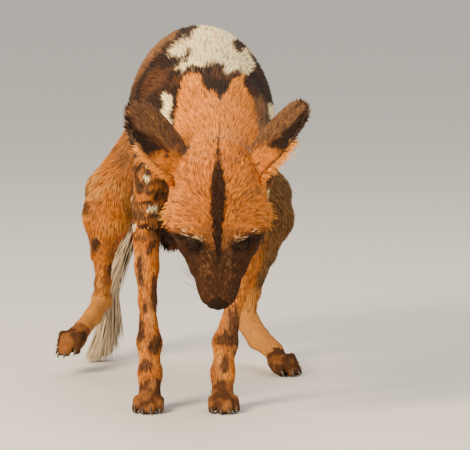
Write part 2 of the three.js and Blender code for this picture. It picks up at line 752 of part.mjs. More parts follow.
const thighsGrown = thighSolid('right', gap).add(thighSolid('left', gap));
const tail = tailCore(0, brushStart, 11).subtract(torsoGrown).subtract(thighsGrown);
addPart('tail', largest(tail), materials.darkCoat);
const brush = brushSolid().subtract(shankSolid('right', gap)).subtract(hindFootSolid('right', gap));
addPart('tail_brush', largest(brush.trimByPlane([0, 0, 1], 0)), materials.whiteCoat);

// The frame's origin lies on the floor under the middle of the whole dog.
const extent = new THREE.Box3().setFromObject(dog);
const middle = extent.getCenter(at(0, 0, 0));
dog.position.set(-middle.x, -middle.y, -extent.min.z);

export default dog;
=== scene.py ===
import math

import bpy
import numpy as np
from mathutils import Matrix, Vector


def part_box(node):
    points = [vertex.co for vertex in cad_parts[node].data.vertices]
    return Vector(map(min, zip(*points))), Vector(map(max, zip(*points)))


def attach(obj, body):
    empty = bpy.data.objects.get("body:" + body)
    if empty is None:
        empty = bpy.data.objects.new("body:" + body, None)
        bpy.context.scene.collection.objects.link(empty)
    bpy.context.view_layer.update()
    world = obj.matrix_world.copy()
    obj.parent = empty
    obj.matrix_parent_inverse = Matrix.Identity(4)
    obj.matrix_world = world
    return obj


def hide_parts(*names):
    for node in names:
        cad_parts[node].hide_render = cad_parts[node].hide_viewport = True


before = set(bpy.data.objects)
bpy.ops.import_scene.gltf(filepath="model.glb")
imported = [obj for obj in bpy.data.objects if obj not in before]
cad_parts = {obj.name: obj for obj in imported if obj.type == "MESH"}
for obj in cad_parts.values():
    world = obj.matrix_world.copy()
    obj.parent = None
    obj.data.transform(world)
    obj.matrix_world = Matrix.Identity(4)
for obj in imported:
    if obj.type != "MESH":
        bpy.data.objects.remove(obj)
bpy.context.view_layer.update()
print("solids loaded:", len(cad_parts))

# Shapes are worked out in millimetres in the dog's own frame: it looks to -Y, its right side is at -X,
# its forefeet stand at Y = 0 and the floor is Z = 0. toRow moves points onto the solids, in metres.
sides = {"right": -1, "left": 1}
upward = np.array([0.0, 0.0, 1.0])


def vec(*values):
    return np.array(values, float)


def unit(v):
    return v / (np.linalg.norm(v, axis=-1, keepdims=True) + 1e-12)


def mix(a, b, t):
    return a + (b - a) * t


def smooth(low, high, x):
    t = np.clip((x - low) / (high - low), 0, 1)
    return t * t * (3 - 2 * t)


# The head's own axes: rise runs from the nose to the crown, brow out of the forehead.
headTilt = math.radians(7.5)
noseTip = vec(30, -186, 196)
rise = vec(0, -math.sin(headTilt), math.cos(headTilt))
brow = vec(0, -math.cos(headTilt), -math.sin(headTilt))
eyeRadius = 10.5


def onHead(t, x, n):
    return noseTip + rise * t + brow * n + vec(x, 0, 0)


def eyeAt(side):
    return onHead(112, side * 39, 27)


eyeLow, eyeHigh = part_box("eye_left")
rowShift = np.array((eyeLow + eyeHigh) / 2) * 1000 - eyeAt(1)


def toRow(points):
    return (np.asarray(points) + rowShift) / 1000


# Fields: functions of points (N, 3), below zero inside the flesh
def smoothMin(a, b, k):
    h = np.maximum(k - np.abs(a - b), 0) / k
    return np.minimum(a, b) - h * h * k * 0.25


def bone(a, b, ra, rb, along=None, by=1.0):
    a, b = np.array(a, float), np.array(b, float)
    ab = b - a
    axis = None if along is None else unit(np.array(along, float))

    def field(p):
        d = p - a
        t = np.clip(d @ ab / (ab @ ab), 0, 1)
        d = d - t[:, None] * ab
        if axis is not None:
            d = d + (d @ axis)[:, None] * axis * (by - 1)
        return np.sqrt((d * d).sum(1)) - (ra + (rb - ra) * t)

    reach = max(ra, rb)
    field.low, field.high = np.minimum(a, b) - reach, np.maximum(a, b) + reach
    return field


def blend(k, *fields):
    def field(p):
        out = fields[0](p)
        for f in fields[1:]:
            out = smoothMin(out, f(p), k)
        return out

    field.low = np.min([f.low for f in fields], 0)
    field.high = np.max([f.high for f in fields], 0)
    return field


def carve(k, base, *cuts):
    def field(p):
        out = base(p)
        for f in cuts:
            out = -smoothMin(-out, f(p), k)
        return out

    field.low, field.high = base.low, base.high
    return field


def chain(k, joints, radii):
    return blend(k, *[bone(joints[i], joints[i + 1], radii[i],
                           radii[i + 1]) for i in range(len(joints) - 1)])


# A smooth curve through a table of [place, value, value...] rows, read at many places at once.
def profile(rows):
    table = np.array(rows, float)
    x, y = table[:, 0], table[:, 1:]
    slope = np.zeros_like(y)
    slope[1:-1] = (y[2:] - y[:-2]) / (x[2:] - x[:-2])[:, None]
    slope[0] = (y[1] - y[0]) / (x[1] - x[0])
    slope[-1] = (y[-1] - y[-2]) / (x[-1] - x[-2])

    def read(place):
        i = np.clip(np.searchsorted(x, place, side="right") - 1, 0, len(x) - 2)
        w = (x[i + 1] - x[i])[:, None]
        t = np.clip((place - x[i])[:, None] / w, 0, 1)
        t2, t3 = t * t, t * t * t
        return (
            (2 * t3 - 3 * t2 + 1) * y[i]
            + (t3 - 2 * t2 + t) * slope[i] * w
            + (3 * t2 - 2 * t3) * y[i + 1]
            + (t3 - t2) * slope[i + 1] * w
        )

    return read


# A polyline with many points through a few given ones.
def smoothLine(points, count=200):
    pts = np.array(points, float)
    knots = np.concatenate([[0], np.cumsum(np.sqrt(np.linalg.norm(np.diff(pts, axis=0), axis=1)))])
    curve = profile(np.column_stack([knots, pts]).tolist())
    fine = curve(np.linspace(0, knots[-1], count))
    lengths = np.concatenate([[0], np.cumsum(np.linalg.norm(np.diff(fine, axis=0), axis=1))])
    return fine, lengths


def alongLine(line, share):
    fine, lengths = line
    place = np.asarray(share) * lengths[-1]
    return np.stack([np.interp(place, lengths, fine[:, c]) for c in range(3)], -1)


# Smooth random values in space, -1 to 1
def latticeNoise(p, seed):
    cell = np.floor(p).astype(np.int64)
    f = p - cell
    f = f * f * (3 - 2 * f)
    out = np.zeros(len(p))
    for corner in range(8):
        step = np.array([corner & 1, (corner >> 1) & 1, corner >> 2])
        c = cell + step
        h = (c[:, 0] * 73856093) ^ (c[:, 1] * 19349663) ^ (c[:, 2] * 83492791) ^ (seed * 2654435761)
        h = (h ^ (h >> 13)) * 1274126177 & 0xFFFFFFFF
        h = (h ^ (h >> 16)) * 2246822519 & 0xFFFFFFFF
        value = (h >> 8) / 8388607.5 - 1
        w = np.where(step, f, 1 - f)
        out += value * w[:, 0] * w[:, 1] * w[:, 2]
    return out


def layeredNoise(p, size, seed, layers=3):
    total, weight = np.zeros(len(p)), 1.0
    for layer in range(layers):
        total += weight * latticeNoise(p / size * 2**layer, seed + 31 * layer)
        weight *= 0.5
    return total


# The flesh, part by part
torsoRows = [
    [-72, 13, 432, 398, 12],
    [-58, 12, 462, 362, 46],
    [-30, 11, 498, 320, 72],
    [0, 10, 524, 292, 87],
    [60, 8, 558, 270, 103],
    [130, 4, 588, 268, 115],
    [200, 1, 606, 280, 121],
    [260, -1, 612, 294, 121],
    [330, -6, 606, 308, 112],
    [400, -14, 586, 322, 100],
    [460, -22, 553, 340, 89],
    [520, -29, 508, 362, 74],
    [570, -34, 462, 384, 54],
    [598, -35, 432, 406, 14],
]
torsoAt = profile(torsoRows)


def torsoField(p):
    x, top, bottom, half = torsoAt(p[:, 1]).T
    middle, height = (top + bottom) / 2, (top - bottom) / 2
    keel = 1 - 0.2 * np.clip((middle - p[:, 2]) / height, 0, 1)
    out = np.hypot((p[:, 0] - x) / (half * keel), (p[:, 2] - middle) / height)
    ends = np.maximum(p[:, 1] - torsoRows[-1][0], torsoRows[0][0] - p[:, 1])
    return np.maximum((out - 1) * np.minimum(half, height), ends)


torsoField.low, torsoField.high = vec(-125, -72, 262), vec(125, 598, 616)

foreJoints = {
    "right": [[-58, 62, 470], [-80, -26, 395], [-89, 44, 300], [-88, 26, 235], [-87, 15, 178],
              [-84, 7, 112],
              [-83, 2, 62], [-83, -3, 32]],
    "left": [[66, 62, 470], [90, -26, 395], [84, 44, 300], [69, 26, 235], [56, 15, 178], [41, 7, 112],
             [37, 2, 62], [36, -3, 32]],
}
hindJoints = {
    "right": [[-68, 492, 406], [-164, 412, 274], [-171, 462, 205], [-172, 512, 148], [-175, 540, 112],
              [-190, 486, 89], [-206, 438, 75]],
    "left": [[14, 492, 406], [118, 442, 266], [110, 482, 204], [88, 516, 130], [77, 536, 77], [98, 482, 52],
             [124, 428, 38]],
}
foreRadii = [42, 42, 22, 18, 14, 20, 18.5, 17]
hindRadii = [72, 40, 19, 12.5, 16, 15.5, 16]
instepRadii = {"right": [16, 16, 16.5], "left": [22, 20.5, 18]}
forePaw = {"length": 78, "width": 55, "height": 38, "arch": 0.56}
hindPaw = {"length": 74, "width": 54, "height": 43, "arch": 0.7}
hindPawAhead = {"right": vec(-31, -40, -14), "left": vec(34, -42, 0)}
hindSole = {"right": vec(-207, 424, 46), "left": vec(127, 418, 0)}


def foreField(word):
    j = [vec(*row) for row in foreJoints[word]]
    return blend(
        12,
        chain(12, j[2:], foreRadii[2:]),
        bone(j[0], j[1], 42, 42, vec(1, 0, 0), 1.5),
        bone(j[1], j[2], 35, 25, vec(1, 0, 0), 1.2),
        bone(vec(j[0][0] * 1.12, 34, 430), vec(j[2][0] * 0.98, 32, 345), 58, 46, vec(1, 0, 0), 1.75),
        bone(vec(j[0][0], 90, 440), j[2] + vec(0, 14, 6), 50, 24, vec(1, 0, 0), 1.5),
        bone(j[2] + vec(0, -12, -20), j[4] + vec(0, -3, 10), 21, 12),
    )


def thighField(word):
    s = sides[word]
    hip, knee = vec(*hindJoints[word][0]), vec(*hindJoints[word][1])
    return blend(
        24,
        bone(hip, knee, 72, 40, vec(s, 0.35, 0.35), 1.22),
        bone(vec(hip[0] - s * 8, 552, 400), knee + vec(-s * 22, 48, -2), 50, 27),
        bone(hip + vec(s * 12, -8, -24), knee + vec(-s * 8, 28, 38), 54, 46),
    )


def shankField(word):
    s = sides[word]
    j = [vec(*row) for row in hindJoints[word]]
    heel = j[4] + vec(0, 18, 14)
    return blend(
        11,
        chain(12, j[1:5], hindRadii[1:5]),
        bone(j[1] + vec(-s * 10, 40, -24), j[2] + vec(-s * 3, 18, 0), 26, 14),
        bone(j[2] + vec(0, 18, 0), heel, 10, 8),
        bone(j[4], heel, 12, 10),
    )


def instepField(word):
    return chain(8, [vec(*row) for row in hindJoints[word][4:]], instepRadii[word])


# A paw: pads, four knuckled toes and the pastern. Also says where its claws grow.
def pawParts(sole, ahead, size, wrist, pasternRadius):
    forward = unit(ahead)
    up = unit(upward - forward * forward[2])
    across = np.cross(forward, up)

    def place(f, a, u):
        return sole + forward * f + across * a + up * u

    length, width, height = size["length"], size["width"], size["height"]
    toes, claws = [], []
    for n in (-1.5, -0.5, 0.5, 1.5):
        reach = length * (0.6 if abs(n) > 1 else 0.76)
        spread = n * width * 0.245
        knuckle, tip = place(reach - 24, spread * 0.92, height * size["arch"]), place(reach - 8, spread, 7)
        toes.append(bone(knuckle, tip, width * 0.155, width * 0.14))
        claws.append({"root": place(reach - 4, spread, 9.5), "lie": unit(forward - up * 0.42),
                      "across": across})
    palm = blend(
        7,
        bone(place(8, 0, height * 0.54), place(length * 0.3, 0, height * 0.44), width * 0.36,
             width * 0.37, up, 1.25),
        bone(place(length * 0.1, 0, 10), place(length * 0.28, 0, 9), width * 0.22, width * 0.24),
        bone(wrist, place(7, 0, height * 0.5), pasternRadius, width * 0.33),
    )
    flesh = blend(3.2, palm, *toes)
    return {"field": flesh, "claws": claws, "forward": forward, "up": up}


paws = {}
for word, s in sides.items():
    x = foreJoints[word][7][0]
    paws["forepaw_" + word] = pawParts(vec(x, 0, 0), vec(s * 0.08, -1, 0), forePaw, vec(x + 0.8, 2, 66),
                                       18.5)
    paws["hindpaw_" + word] = pawParts(hindSole[word], hindPawAhead[word], hindPaw,
                                       vec(*hindJoints[word][6]), 15)

headRows = [
    [-1, 9, 5, 6],
    [5, 19, 12, 16],
    [14, 25, 18, 24],
    [28, 32, 22.5, 31],
    [49, 36, 25, 35],
    [73, 42, 28, 38],
    [96, 51, 33, 44],
    [115, 64, 41, 50],
    [139, 75, 50, 57],
    [162, 79, 56, 63],
    [183, 78, 58, 66],
    [205, 72, 56, 64],
    [230, 61, 49, 56],
    [252, 46, 38, 44],
    [272, 16, 14, 16],
]
headAt = profile(headRows)


def headShape(p):
    d = p - noseTip
    t, n = d @ rise, d @ brow
    half, up, down = headAt(t).T
    height = np.where(n > 0, up, down)
    squareness = 2.3
    out = (np.abs(d[:, 0] / half) ** squareness + np.abs(n / height) ** squareness) ** (1 / squareness)
    ends = np.maximum(t - headRows[-1][0], headRows[0][0] - t)
    return np.maximum((out - 1) * np.minimum(half, height), ends)


headShape.low, headShape.high = vec(-55, -272, 190), vec(115, -120, 470)


def headField():
    added, cut = [headShape], []
    for s in sides.values():
        added += [
            bone(onHead(128, s * 32, 34), onHead(132, s * 54, 20), 13, 12),
            bone(onHead(104, s * 50, 12), onHead(150, s * 68, 2), 11, 14),
            bone(onHead(20, s * 15, 6), onHead(78, s * 22, -6), 14, 19),
            bone(onHead(102, s * 47, 8), onHead(64, s * 34, 2), 13, 11),
        ]
        cut.append(bone(onHead(104, s * 30, 48), onHead(113, s * 54, 37), 10, 10))
    return carve(9, blend(12, *added), *cut)


# The eye's own axes: corners runs from inner to outer corner, gaze out of the lid's opening.
def eyeAxes(s):
    corners = unit(vec(s * 0.85, 0, 0) + rise * 0.4 - brow * 0.3)
    gaze = vec(s * 0.42, 0, 0) + brow * 0.86 - rise * 0.12
    gaze = unit(gaze - corners * (gaze @ corners))
    over = rise - corners * (rise @ corners)
    return corners, gaze, unit(over - gaze * (over @ gaze))


# The lids reach this far above and below the gaze, so that a narrow slit is left.
lidAngles = ((math.radians(-3), 1), (math.radians(21), -1))


# Lids and rims round the ball, with the slit between them.
def lidField(s):
    corners, gaze, over = eyeAxes(s)
    centre = eyeAt(s)

    def field(p):
        d = p - centre
        r = np.sqrt((d * d).sum(1))
        o, g = d @ over, d @ gaze
        upperEdge, lowerEdge = (math.cos(a) * o * way - math.sin(a) * g for a, way in lidAngles)
        upper = np.maximum(r - eyeRadius - 3.4, -upperEdge)
        lower = np.maximum(r - eyeRadius - 2.6, -lowerEdge)
        return smoothMin(upper, lower, 1.0)

    field.low, field.high = centre - 15, centre + 15
    return field


def ball(centre, radius):
    return bone(centre, centre + 0.01, radius, radius)


# Ears: broad round cups that open sideways, down and away from the face.
earSize = {"length": 134.0, "half": 49.0, "thickness": 5.0}
earAt = profile(
    [[-0.12, 0.46, 0.9], [0, 0.54, 0.84], [0.2, 0.78, 0.64], [0.42, 0.96, 0.46], [0.62, 1, 0.35],
     [0.8, 0.9, 0.29],
     [0.92, 0.68, 0.25], [1, 0.3, 0.2]]
)
earLie = {
    "right": {"along": vec(-0.6, 0.03, 0.8), "opening": vec(-0.66, 0.5, -0.52)},
    "left": {"along": vec(0.57, 0.03, 0.83), "opening": vec(0.72, 0.32, -0.56)},
}


def earAxes(s):
    lie = earLie["left" if s > 0 else "right"]
    along = unit(lie["along"])
    opening = unit(lie["opening"] - along * (along @ lie["opening"]))
    return vec(30 + s * 58, -208, 416), along, opening, np.cross(along, opening) * s


def earPlace(s, p):
    root, along, opening, across = earAxes(s)
    d = p - root
    share = d @ along / earSize["length"]
    return share, d @ across, d @ opening


def earField(s):
    def field(p):
        share, x, o = earPlace(s, p)
        held = np.clip(share, -0.12, 1)
        width, depth = earAt(held).T
        half = earSize["half"] * width
        bowl = half * depth
        wall = earSize["thickness"] * (1 - 0.4 * held)
        o = o - 6 * held * held
        hm, bm = half - wall * 0.3, np.maximum(bowl - wall * 0.5, 2)
        g = np.sqrt((x / hm) ** 2 + (o / bm) ** 2) + 1e-6
        slope = np.sqrt((x / hm**2) ** 2 + (o / bm**2) ** 2) / g
        shell = np.abs((g - 1) / (slope + 1e-6)) - wall / 2
        shell = np.maximum(shell, o - 0.5)
        return np.maximum(shell, np.maximum(share - 1, -0.14 - share) * earSize["length"])

    root, along, _, _ = earAxes(s)
    tip = root + along * earSize["length"]
    field.low, field.high = np.minimum(root, tip) - 44, np.maximum(root, tip) + 44
    return field


neckField = blend(
    30,
    bone(vec(8, 70, 452), vec(28, -50, 424), 100, 76),
    bone(vec(28, -50, 424), vec(30, -170, 404), 76, 61),
    bone(vec(30, -170, 404), vec(30, -214, 402), 61, 56),
)
tailPoints = [[-34, 548, 438], [-40, 590, 414], [-60, 624, 362], [-94, 636, 288], [-128, 626, 214],
              [-153, 610, 152],
              [-159, 596, 102], [-169, 582, 56], [-182, 568, 22], [-188, 562, -8]]
tailLine = smoothLine(tailPoints)
tailAt = profile([[0, 30], [0.1, 25], [0.25, 18], [0.43, 14], [0.52, 10.5], [0.75, 9.5], [0.93, 8.5],
                  [1, 7.5]])
tailShares = np.linspace(0, 0.95, 20)
tailSpots = alongLine(tailLine, tailShares)
tailRadii = tailAt(tailShares)[:, 0]
brushStart = 0.43

# depth: how far the skin lies under the solid, which is the coat's depth.
# k: how softly a part runs into the rest.
neckPart = {"name": "neck", "field": neckField, "k": 30, "depth": 3.5}
fleshParts = [
    {"name": "torso", "field": torsoField, "k": 24, "depth": 4.0},
    {"name": "sheath", "field": bone(vec(-35, 456, 350), vec(-50, 352, 250), 28, 21.5), "k": 20,
     "depth": 2.5},
    neckPart,
]
for word in sides:
    fleshParts += [
        {"name": "foreleg_" + word, "field": foreField(word), "k": 20, "depth": 2.2},
        {"name": "thigh_" + word, "field": thighField(word), "k": 26, "depth": 3.0},
        {"name": "shank_" + word, "field": shankField(word), "k": 16, "depth": 1.8},
        {"name": "hindfoot_" + word, "field": instepField(word), "k": 8, "depth": 1.3},
        {"name": "forepaw_" + word, "field": paws["forepaw_" + word]["field"], "k": 5, "depth": 1.0},
        {"name": "hindpaw_" + word, "field": paws["hindpaw_" + word]["field"], "k": 5, "depth": 1.0},
    ]
fleshParts.append({"name": "tail", "field": chain(6, list(tailSpots), list(tailRadii)), "k": 16,
                   "depth": 2.0})
headParts = [{"name": "head", "field": headField(), "k": 24, "depth": 1.4}]
for word, s in sides.items():
    headParts.append({"name": "ear_" + word, "field": earField(s), "k": 9, "depth": 0.4})
partNames = [part["name"] for part in fleshParts + headParts]


def gridPoints(axes):
    return np.stack(np.meshgrid(*axes, indexing="ij"), -1)


# The fields of the parts, run together on a grid, and the part that each place of it belongs to.
def fillGrid(start, end, step, parts):
    axes = [np.arange(start[c], end[c] + step, step) for c in range(3)]
    shape = [len(a) for a in axes]
    values = np.full(shape, 60.0)
    closest = np.full(shape, 60.0)
    label = np.zeros(shape, np.int16)
    for part in parts:
        margin = part["k"] + 14
        low, high = part["field"].low - margin, part["field"].high + margin
        cut = tuple(slice(np.searchsorted(a, low[c]), np.searchsorted(a, high[c])) for c,
                    a in enumerate(axes))
        block = values[cut]
        if block.size == 0:
            continue
        points = gridPoints([a[cut[c]] for c, a in enumerate(axes)]).reshape(-1, 3)
        found = (part["field"](points) + part["depth"]).reshape(block.shape)
        values[cut] = smoothMin(block, found, part["k"])
        nearer = found < closest[cut]
        closest[cut] = np.where(nearer, found, closest[cut])
        label[cut] = np.where(nearer, partNames.index(part["name"]), label[cut])
    return axes, values, label


def readGrid(axes, values, p):
    low = np.array([a[0] for a in axes])
    step = axes[0][1] - axes[0][0]
    q = (p - low) / step
    q = np.clip(q, 0, np.array(values.shape[:3]) - 1.001)
    i = q.astype(int)
    f = q - i
    out = 0
    for corner in range(8):
        o = np.array([corner & 1, (corner >> 1) & 1, corner >> 2])
        w = np.where(o, f, 1 - f).prod(1)
        c = i + o
        value = values[c[:, 0], c[:, 1], c[:, 2]]
        out = out + (value * w if value.ndim == 1 else value * w[:, None])
    return out


def surfaceNet(axes, values):
    low = np.array([a[0] for a in axes])
    step = axes[0][1] - axes[0][0]
    inside = values < 0
    cellShape = tuple(n - 1 for n in values.shape)
    count = np.zeros(cellShape, np.int8)
    corners = [(a, b, c) for a in (0, 1) for b in (0, 1) for c in (0, 1)]
    for a, b, c in corners:
        count += inside[a : a + cellShape[0], b : b + cellShape[1], c : c + cellShape[2]]
    cells = np.argwhere((count > 0) & (count < 8))
    where = np.full(cellShape, -1, np.int64)
    where[tuple(cells.T)] = np.arange(len(cells))
    total, hits = np.zeros((len(cells), 3)), np.zeros(len(cells))
    for start in corners:
        for axis in range(3):
            if start[axis]:
                continue
            end = list(start)
            end[axis] = 1
            va = values[tuple((cells + start).T)]
            vb = values[tuple((cells + end).T)]
            crossing = (va < 0) != (vb < 0)
            t = np.where(crossing, va / np.where(crossing, va - vb, 1), 0)
            spot = np.array(start, float) + t[:, None] * (np.array(end) - np.array(start))
            total += spot * crossing[:, None]
            hits += crossing
    points = low + step * (cells + total / hits[:, None])
    quads = []
    for axis in range(3):
        u, v = (axis + 1) % 3, (axis + 2) % 3
        first = [slice(None)] * 3
        second = [slice(None)] * 3
        first[axis], second[axis] = slice(0, -1), slice(1, None)
        a, b = inside[tuple(first)], inside[tuple(second)]
        edges = np.argwhere(a != b)
        ok = (edges[:, u] > 0) & (edges[:, v] > 0)
        ok &= (edges[:, u] < values.shape[u] - 1) & (edges[:, v] < values.shape[v] - 1)
        edges = edges[ok]
        ring = []
        for du, dv in ((-1, -1), (0, -1), (0, 0), (-1, 0)):
            c = edges.copy()
            c[:, u] += du
            c[:, v] += dv
            ring.append(where[tuple(c.T)])
        ring = np.stack(ring, 1)
        turned = ~a[tuple(edges.T)]
        ring[turned] = ring[turned][:, ::-1]
        quads.append(ring)
    return points, np.concatenate(quads)


def neighbourMean(points, quads):
    total, hits = np.zeros_like(points), np.zeros(len(points))
    for a in range(4):
        for b in ((a + 1) % 4, (a + 3) % 4):
            np.add.at(total, quads[:, a], points[quads[:, b]])
            np.add.at(hits, quads[:, a], 1)
    return total / hits[:, None]


# Slides the points onto the zero of the field and evens them out over the surface.
def settleSkin(axes, values, points, quads, rounds=3):
    step = axes[0][1] - axes[0][0]
    slope = np.stack(np.gradient(values, step), -1)
    for turn in range(rounds):
        moved = mix(points, neighbourMean(points, quads), 0.5)
        for _ in range(2):
            g = readGrid(axes, slope, moved)
            f = readGrid(axes, values, moved)
            size = np.maximum((g * g).sum(1), 0.2)
            moved = moved - np.clip(f / size, -step, step)[:, None] * g
        points = moved
    return points, unit(readGrid(axes, slope, points))


# The part that each point of a skin belongs to.
def labelsAt(axes, label, points, step):
    low = np.array([a[0] for a in axes])
    cell = np.clip(np.rint((points - low) / step).astype(int), 0, np.array(label.shape) - 1)
    return label[tuple(cell.T)]


skinSize = {"bodyStep": 5.0, "headStep": 2.2}

# The body's skin runs on inside the head's skin, and the head's skin ends under the neck's coat.
lapY = -150.0
axes, values, label = fillGrid(vec(-250, -215, -8), vec(215, 665, 632), skinSize["bodyStep"], fleshParts)
grid = gridPoints(axes)
values = np.maximum(values, -grid[..., 2])
values = np.where(grid[..., 1] < lapY + 30, values + 1.6 * smooth(lapY + 30, lapY, grid[..., 1]), values)
bodyPoints, bodyQuads = surfaceNet(axes, values)
bodyPoints, bodyNormals = settleSkin(axes, values, bodyPoints, bodyQuads)
bodyLabel = labelsAt(axes, label, bodyPoints, skinSize["bodyStep"])
print("body skin:", len(bodyQuads), "quads")

axes, values, label = fillGrid(vec(-115, -300, 188), vec(180, lapY + 8, 552), skinSize["headStep"],
                               [neckPart] + headParts)
grid = gridPoints(axes)
flat = grid.reshape(-1, 3)
for s in sides.values():
    near = (np.abs(flat - eyeAt(s)) < 26).all(1)
    found = values.reshape(-1)[near]
    found = smoothMin(found, lidField(s)(flat[near]), 3.0)
    found = -smoothMin(-found, ball(eyeAt(s), eyeRadius - 0.2)(flat[near]), 0.8)
    values.reshape(-1)[near] = found
values = np.maximum(values, grid[..., 1] - lapY)
headPoints, headQuads = surfaceNet(axes, values)
headPoints, headNormals = settleSkin(axes, values, headPoints, headQuads)
headLabel = labelsAt(axes, label, headPoints, skinSize["headStep"])
# in front of this line the skin is the head's and none of it the neck's
headStartY = -192
aheadOfNeck = (headLabel == partNames.index("neck")) & (headPoints[:, 1] < headStartY)
headLabel[aheadOfNeck] = partNames.index("head")
print("head skin:", len(headQuads), "quads")

skinPoints = np.concatenate([bodyPoints, headPoints])
skinNormals = np.concatenate([bodyNormals, headNormals])
skinLabel = np.concatenate([bodyLabel, headLabel])
skinQuads = np.concatenate([bodyQuads, headQuads + len(bodyPoints)])
nameId = {name: i for i, name in enumerate(partNames)}


def isPart(label, *starts):
    ids = [i for name, i in nameId.items() if name.startswith(starts)]
    return np.isin(label, ids)


# Markings: one function for skin and coat alike
tones = {
    "tan": vec(0.60, 0.176, 0.016),
    "paleTan": vec(0.80, 0.29, 0.040),
    "red": vec(0.42, 0.115, 0.026),
    "umber": vec(0.21, 0.092, 0.036),
    "sand": vec(0.66, 0.285, 0.060),
    # the next tone is painted shade, for the shadow that falls on the left hind leg
    "shadedOlive": vec(0.150, 0.085, 0.034),
    "cream": vec(0.96, 0.72, 0.40),
    "black": vec(0.022, 0.011, 0.007),
    "brown": vec(0.088, 0.034, 0.014),
    "muzzle": vec(0.048, 0.020, 0.010),
    "earBack": vec(0.118, 0.058, 0.031),
    "earInside": vec(0.22, 0.13, 0.085),
    "pad": vec(0.02, 0.014, 0.012),
}

# The place the dog is looked at from. Patches that show from there are given by their place in
# the view: millimetres to the right and up from its middle, at a distance of nine metres.
viewFrom, viewPitch, viewDistance = vec(57.0, -8938.5, 1356.6), math.radians(6.7), 9000.0


def inView(p):
    d = p - viewFrom
    ahead = d[:, 1] * math.cos(viewPitch) - d[:, 2] * math.sin(viewPitch)
    up = d[:, 1] * math.sin(viewPitch) + d[:, 2] * math.cos(viewPitch)
    return d[:, 0] * viewDistance / ahead, up * viewDistance / ahead


def paint(colour, tone, mask):
    return colour + (tones[tone] - colour) * np.clip(mask, 0, 1)[:, None]


# How far inside a closed outline the points lie: positive inside.
def insideOutline(a, h, outline):
    pts = np.array(outline, float)
    best = np.full(len(a), 1e9)
    inside = np.zeros(len(a), bool)
    for (x0, y0), (x1, y1) in zip(pts, np.roll(pts, -1, 0)):
        dx, dy = x1 - x0, y1 - y0
        t = np.clip(((a - x0) * dx + (h - y0) * dy) / (dx * dx + dy * dy), 0, 1)
        best = np.minimum(best, np.hypot(a - x0 - t * dx, h - y0 - t * dy))
        crosses = ((y0 > h) != (y1 > h)) & (a < (x1 - x0) * (h - y0) / (y1 - y0 + 1e-9) + x0)
        inside ^= crosses
    return np.where(inside, best, -best)


# Patches of the back and nape on a black ground, as seen from the front.
backPatches = [
    ("umber", [[-164, 222], [-156, 252], [-143, 279], [-124, 299], [-100, 318], [-78, 322], [-92, 300],
               [-112, 286], [-130, 268], [-146, 246]]),
    ("brown", [[-131, 251], [-118, 256], [-105, 246], [-107, 231], [-123, 216], [-140, 208], [-141, 231]]),
    ("paleTan", [[-93, 100], [-92, 166], [-86, 221], [-80, 234], [-67, 239], [-53, 234], [-48, 216],
                 [-41, 206], [-34, 211], [-25, 193], [-15, 207], [-10, 218], [-3, 230], [5, 239],
                 [11, 232], [15, 214], [26, 202], [30, 179], [32, 100]]),
    # painted shade: a tan patch beside the nape, on the dog's left, that lies in shade is painted umber
    ("umber", [[28, 198], [38, 206], [46, 189], [44, 148], [36, 110], [28, 110]]),
    ("cream", [[-105, 270], [-95, 284], [-84, 294], [-74, 304], [-62, 314], [-60, 345], [-16, 345],
               [-1, 312], [-8, 290], [2, 272], [12, 284], [21, 280], [24, 262], [16, 246], [8, 238],
               [0, 249], [-15, 236], [-25, 251], [-36, 260], [-52, 247], [-69, 249], [-84, 240],
               [-93, 249], [-79, 261], [-63, 270], [-79, 276], [-93, 266]]),
    ("black", [[-96, 318], [-82, 324], [-64, 304], [-70, 294], [-84, 303]]),
    ("cream", [[-116, 172], [-112, 204], [-107, 211], [-100, 198], [-103, 178], [-96, 164], [-100, 157]]),
    ("cream", [[48, 203], [54, 199], [58, 176], [54, 160], [50, 184]]),
]
# Dark patches of the legs, as seen from the front: right, up, half width, half height, lean. The band at
# -10, -182 is a painted shadow of the head across the left foreleg, and the crescent at -207, -144 a
# painted shadow at the right hind heel.
legPatches = [
    [-138, -30, 6, 15, 0.4], [-154, -72, 5, 32, -0.05], [-133, -102, 6, 24, 0], [-148, -134, 4, 10, 0],
    [-154, -168, 8, 26, 0], [-132, -190, 11, 17, 0.2], [-146, -226, 12, 9, 0], [-10, -182, 26, 9, 0],
    [-17, -224, 7, 15, 0], [3, -206, 5, 10, 0], [-240, 57, 7, 34, 0.1], [-233, -26, 7, 13, 0.1],
    [-202, 130, 16, 7, 0.5], [-207, -144, 4, 9, -0.3], [54, -184, 5, 3, -0.3],
]


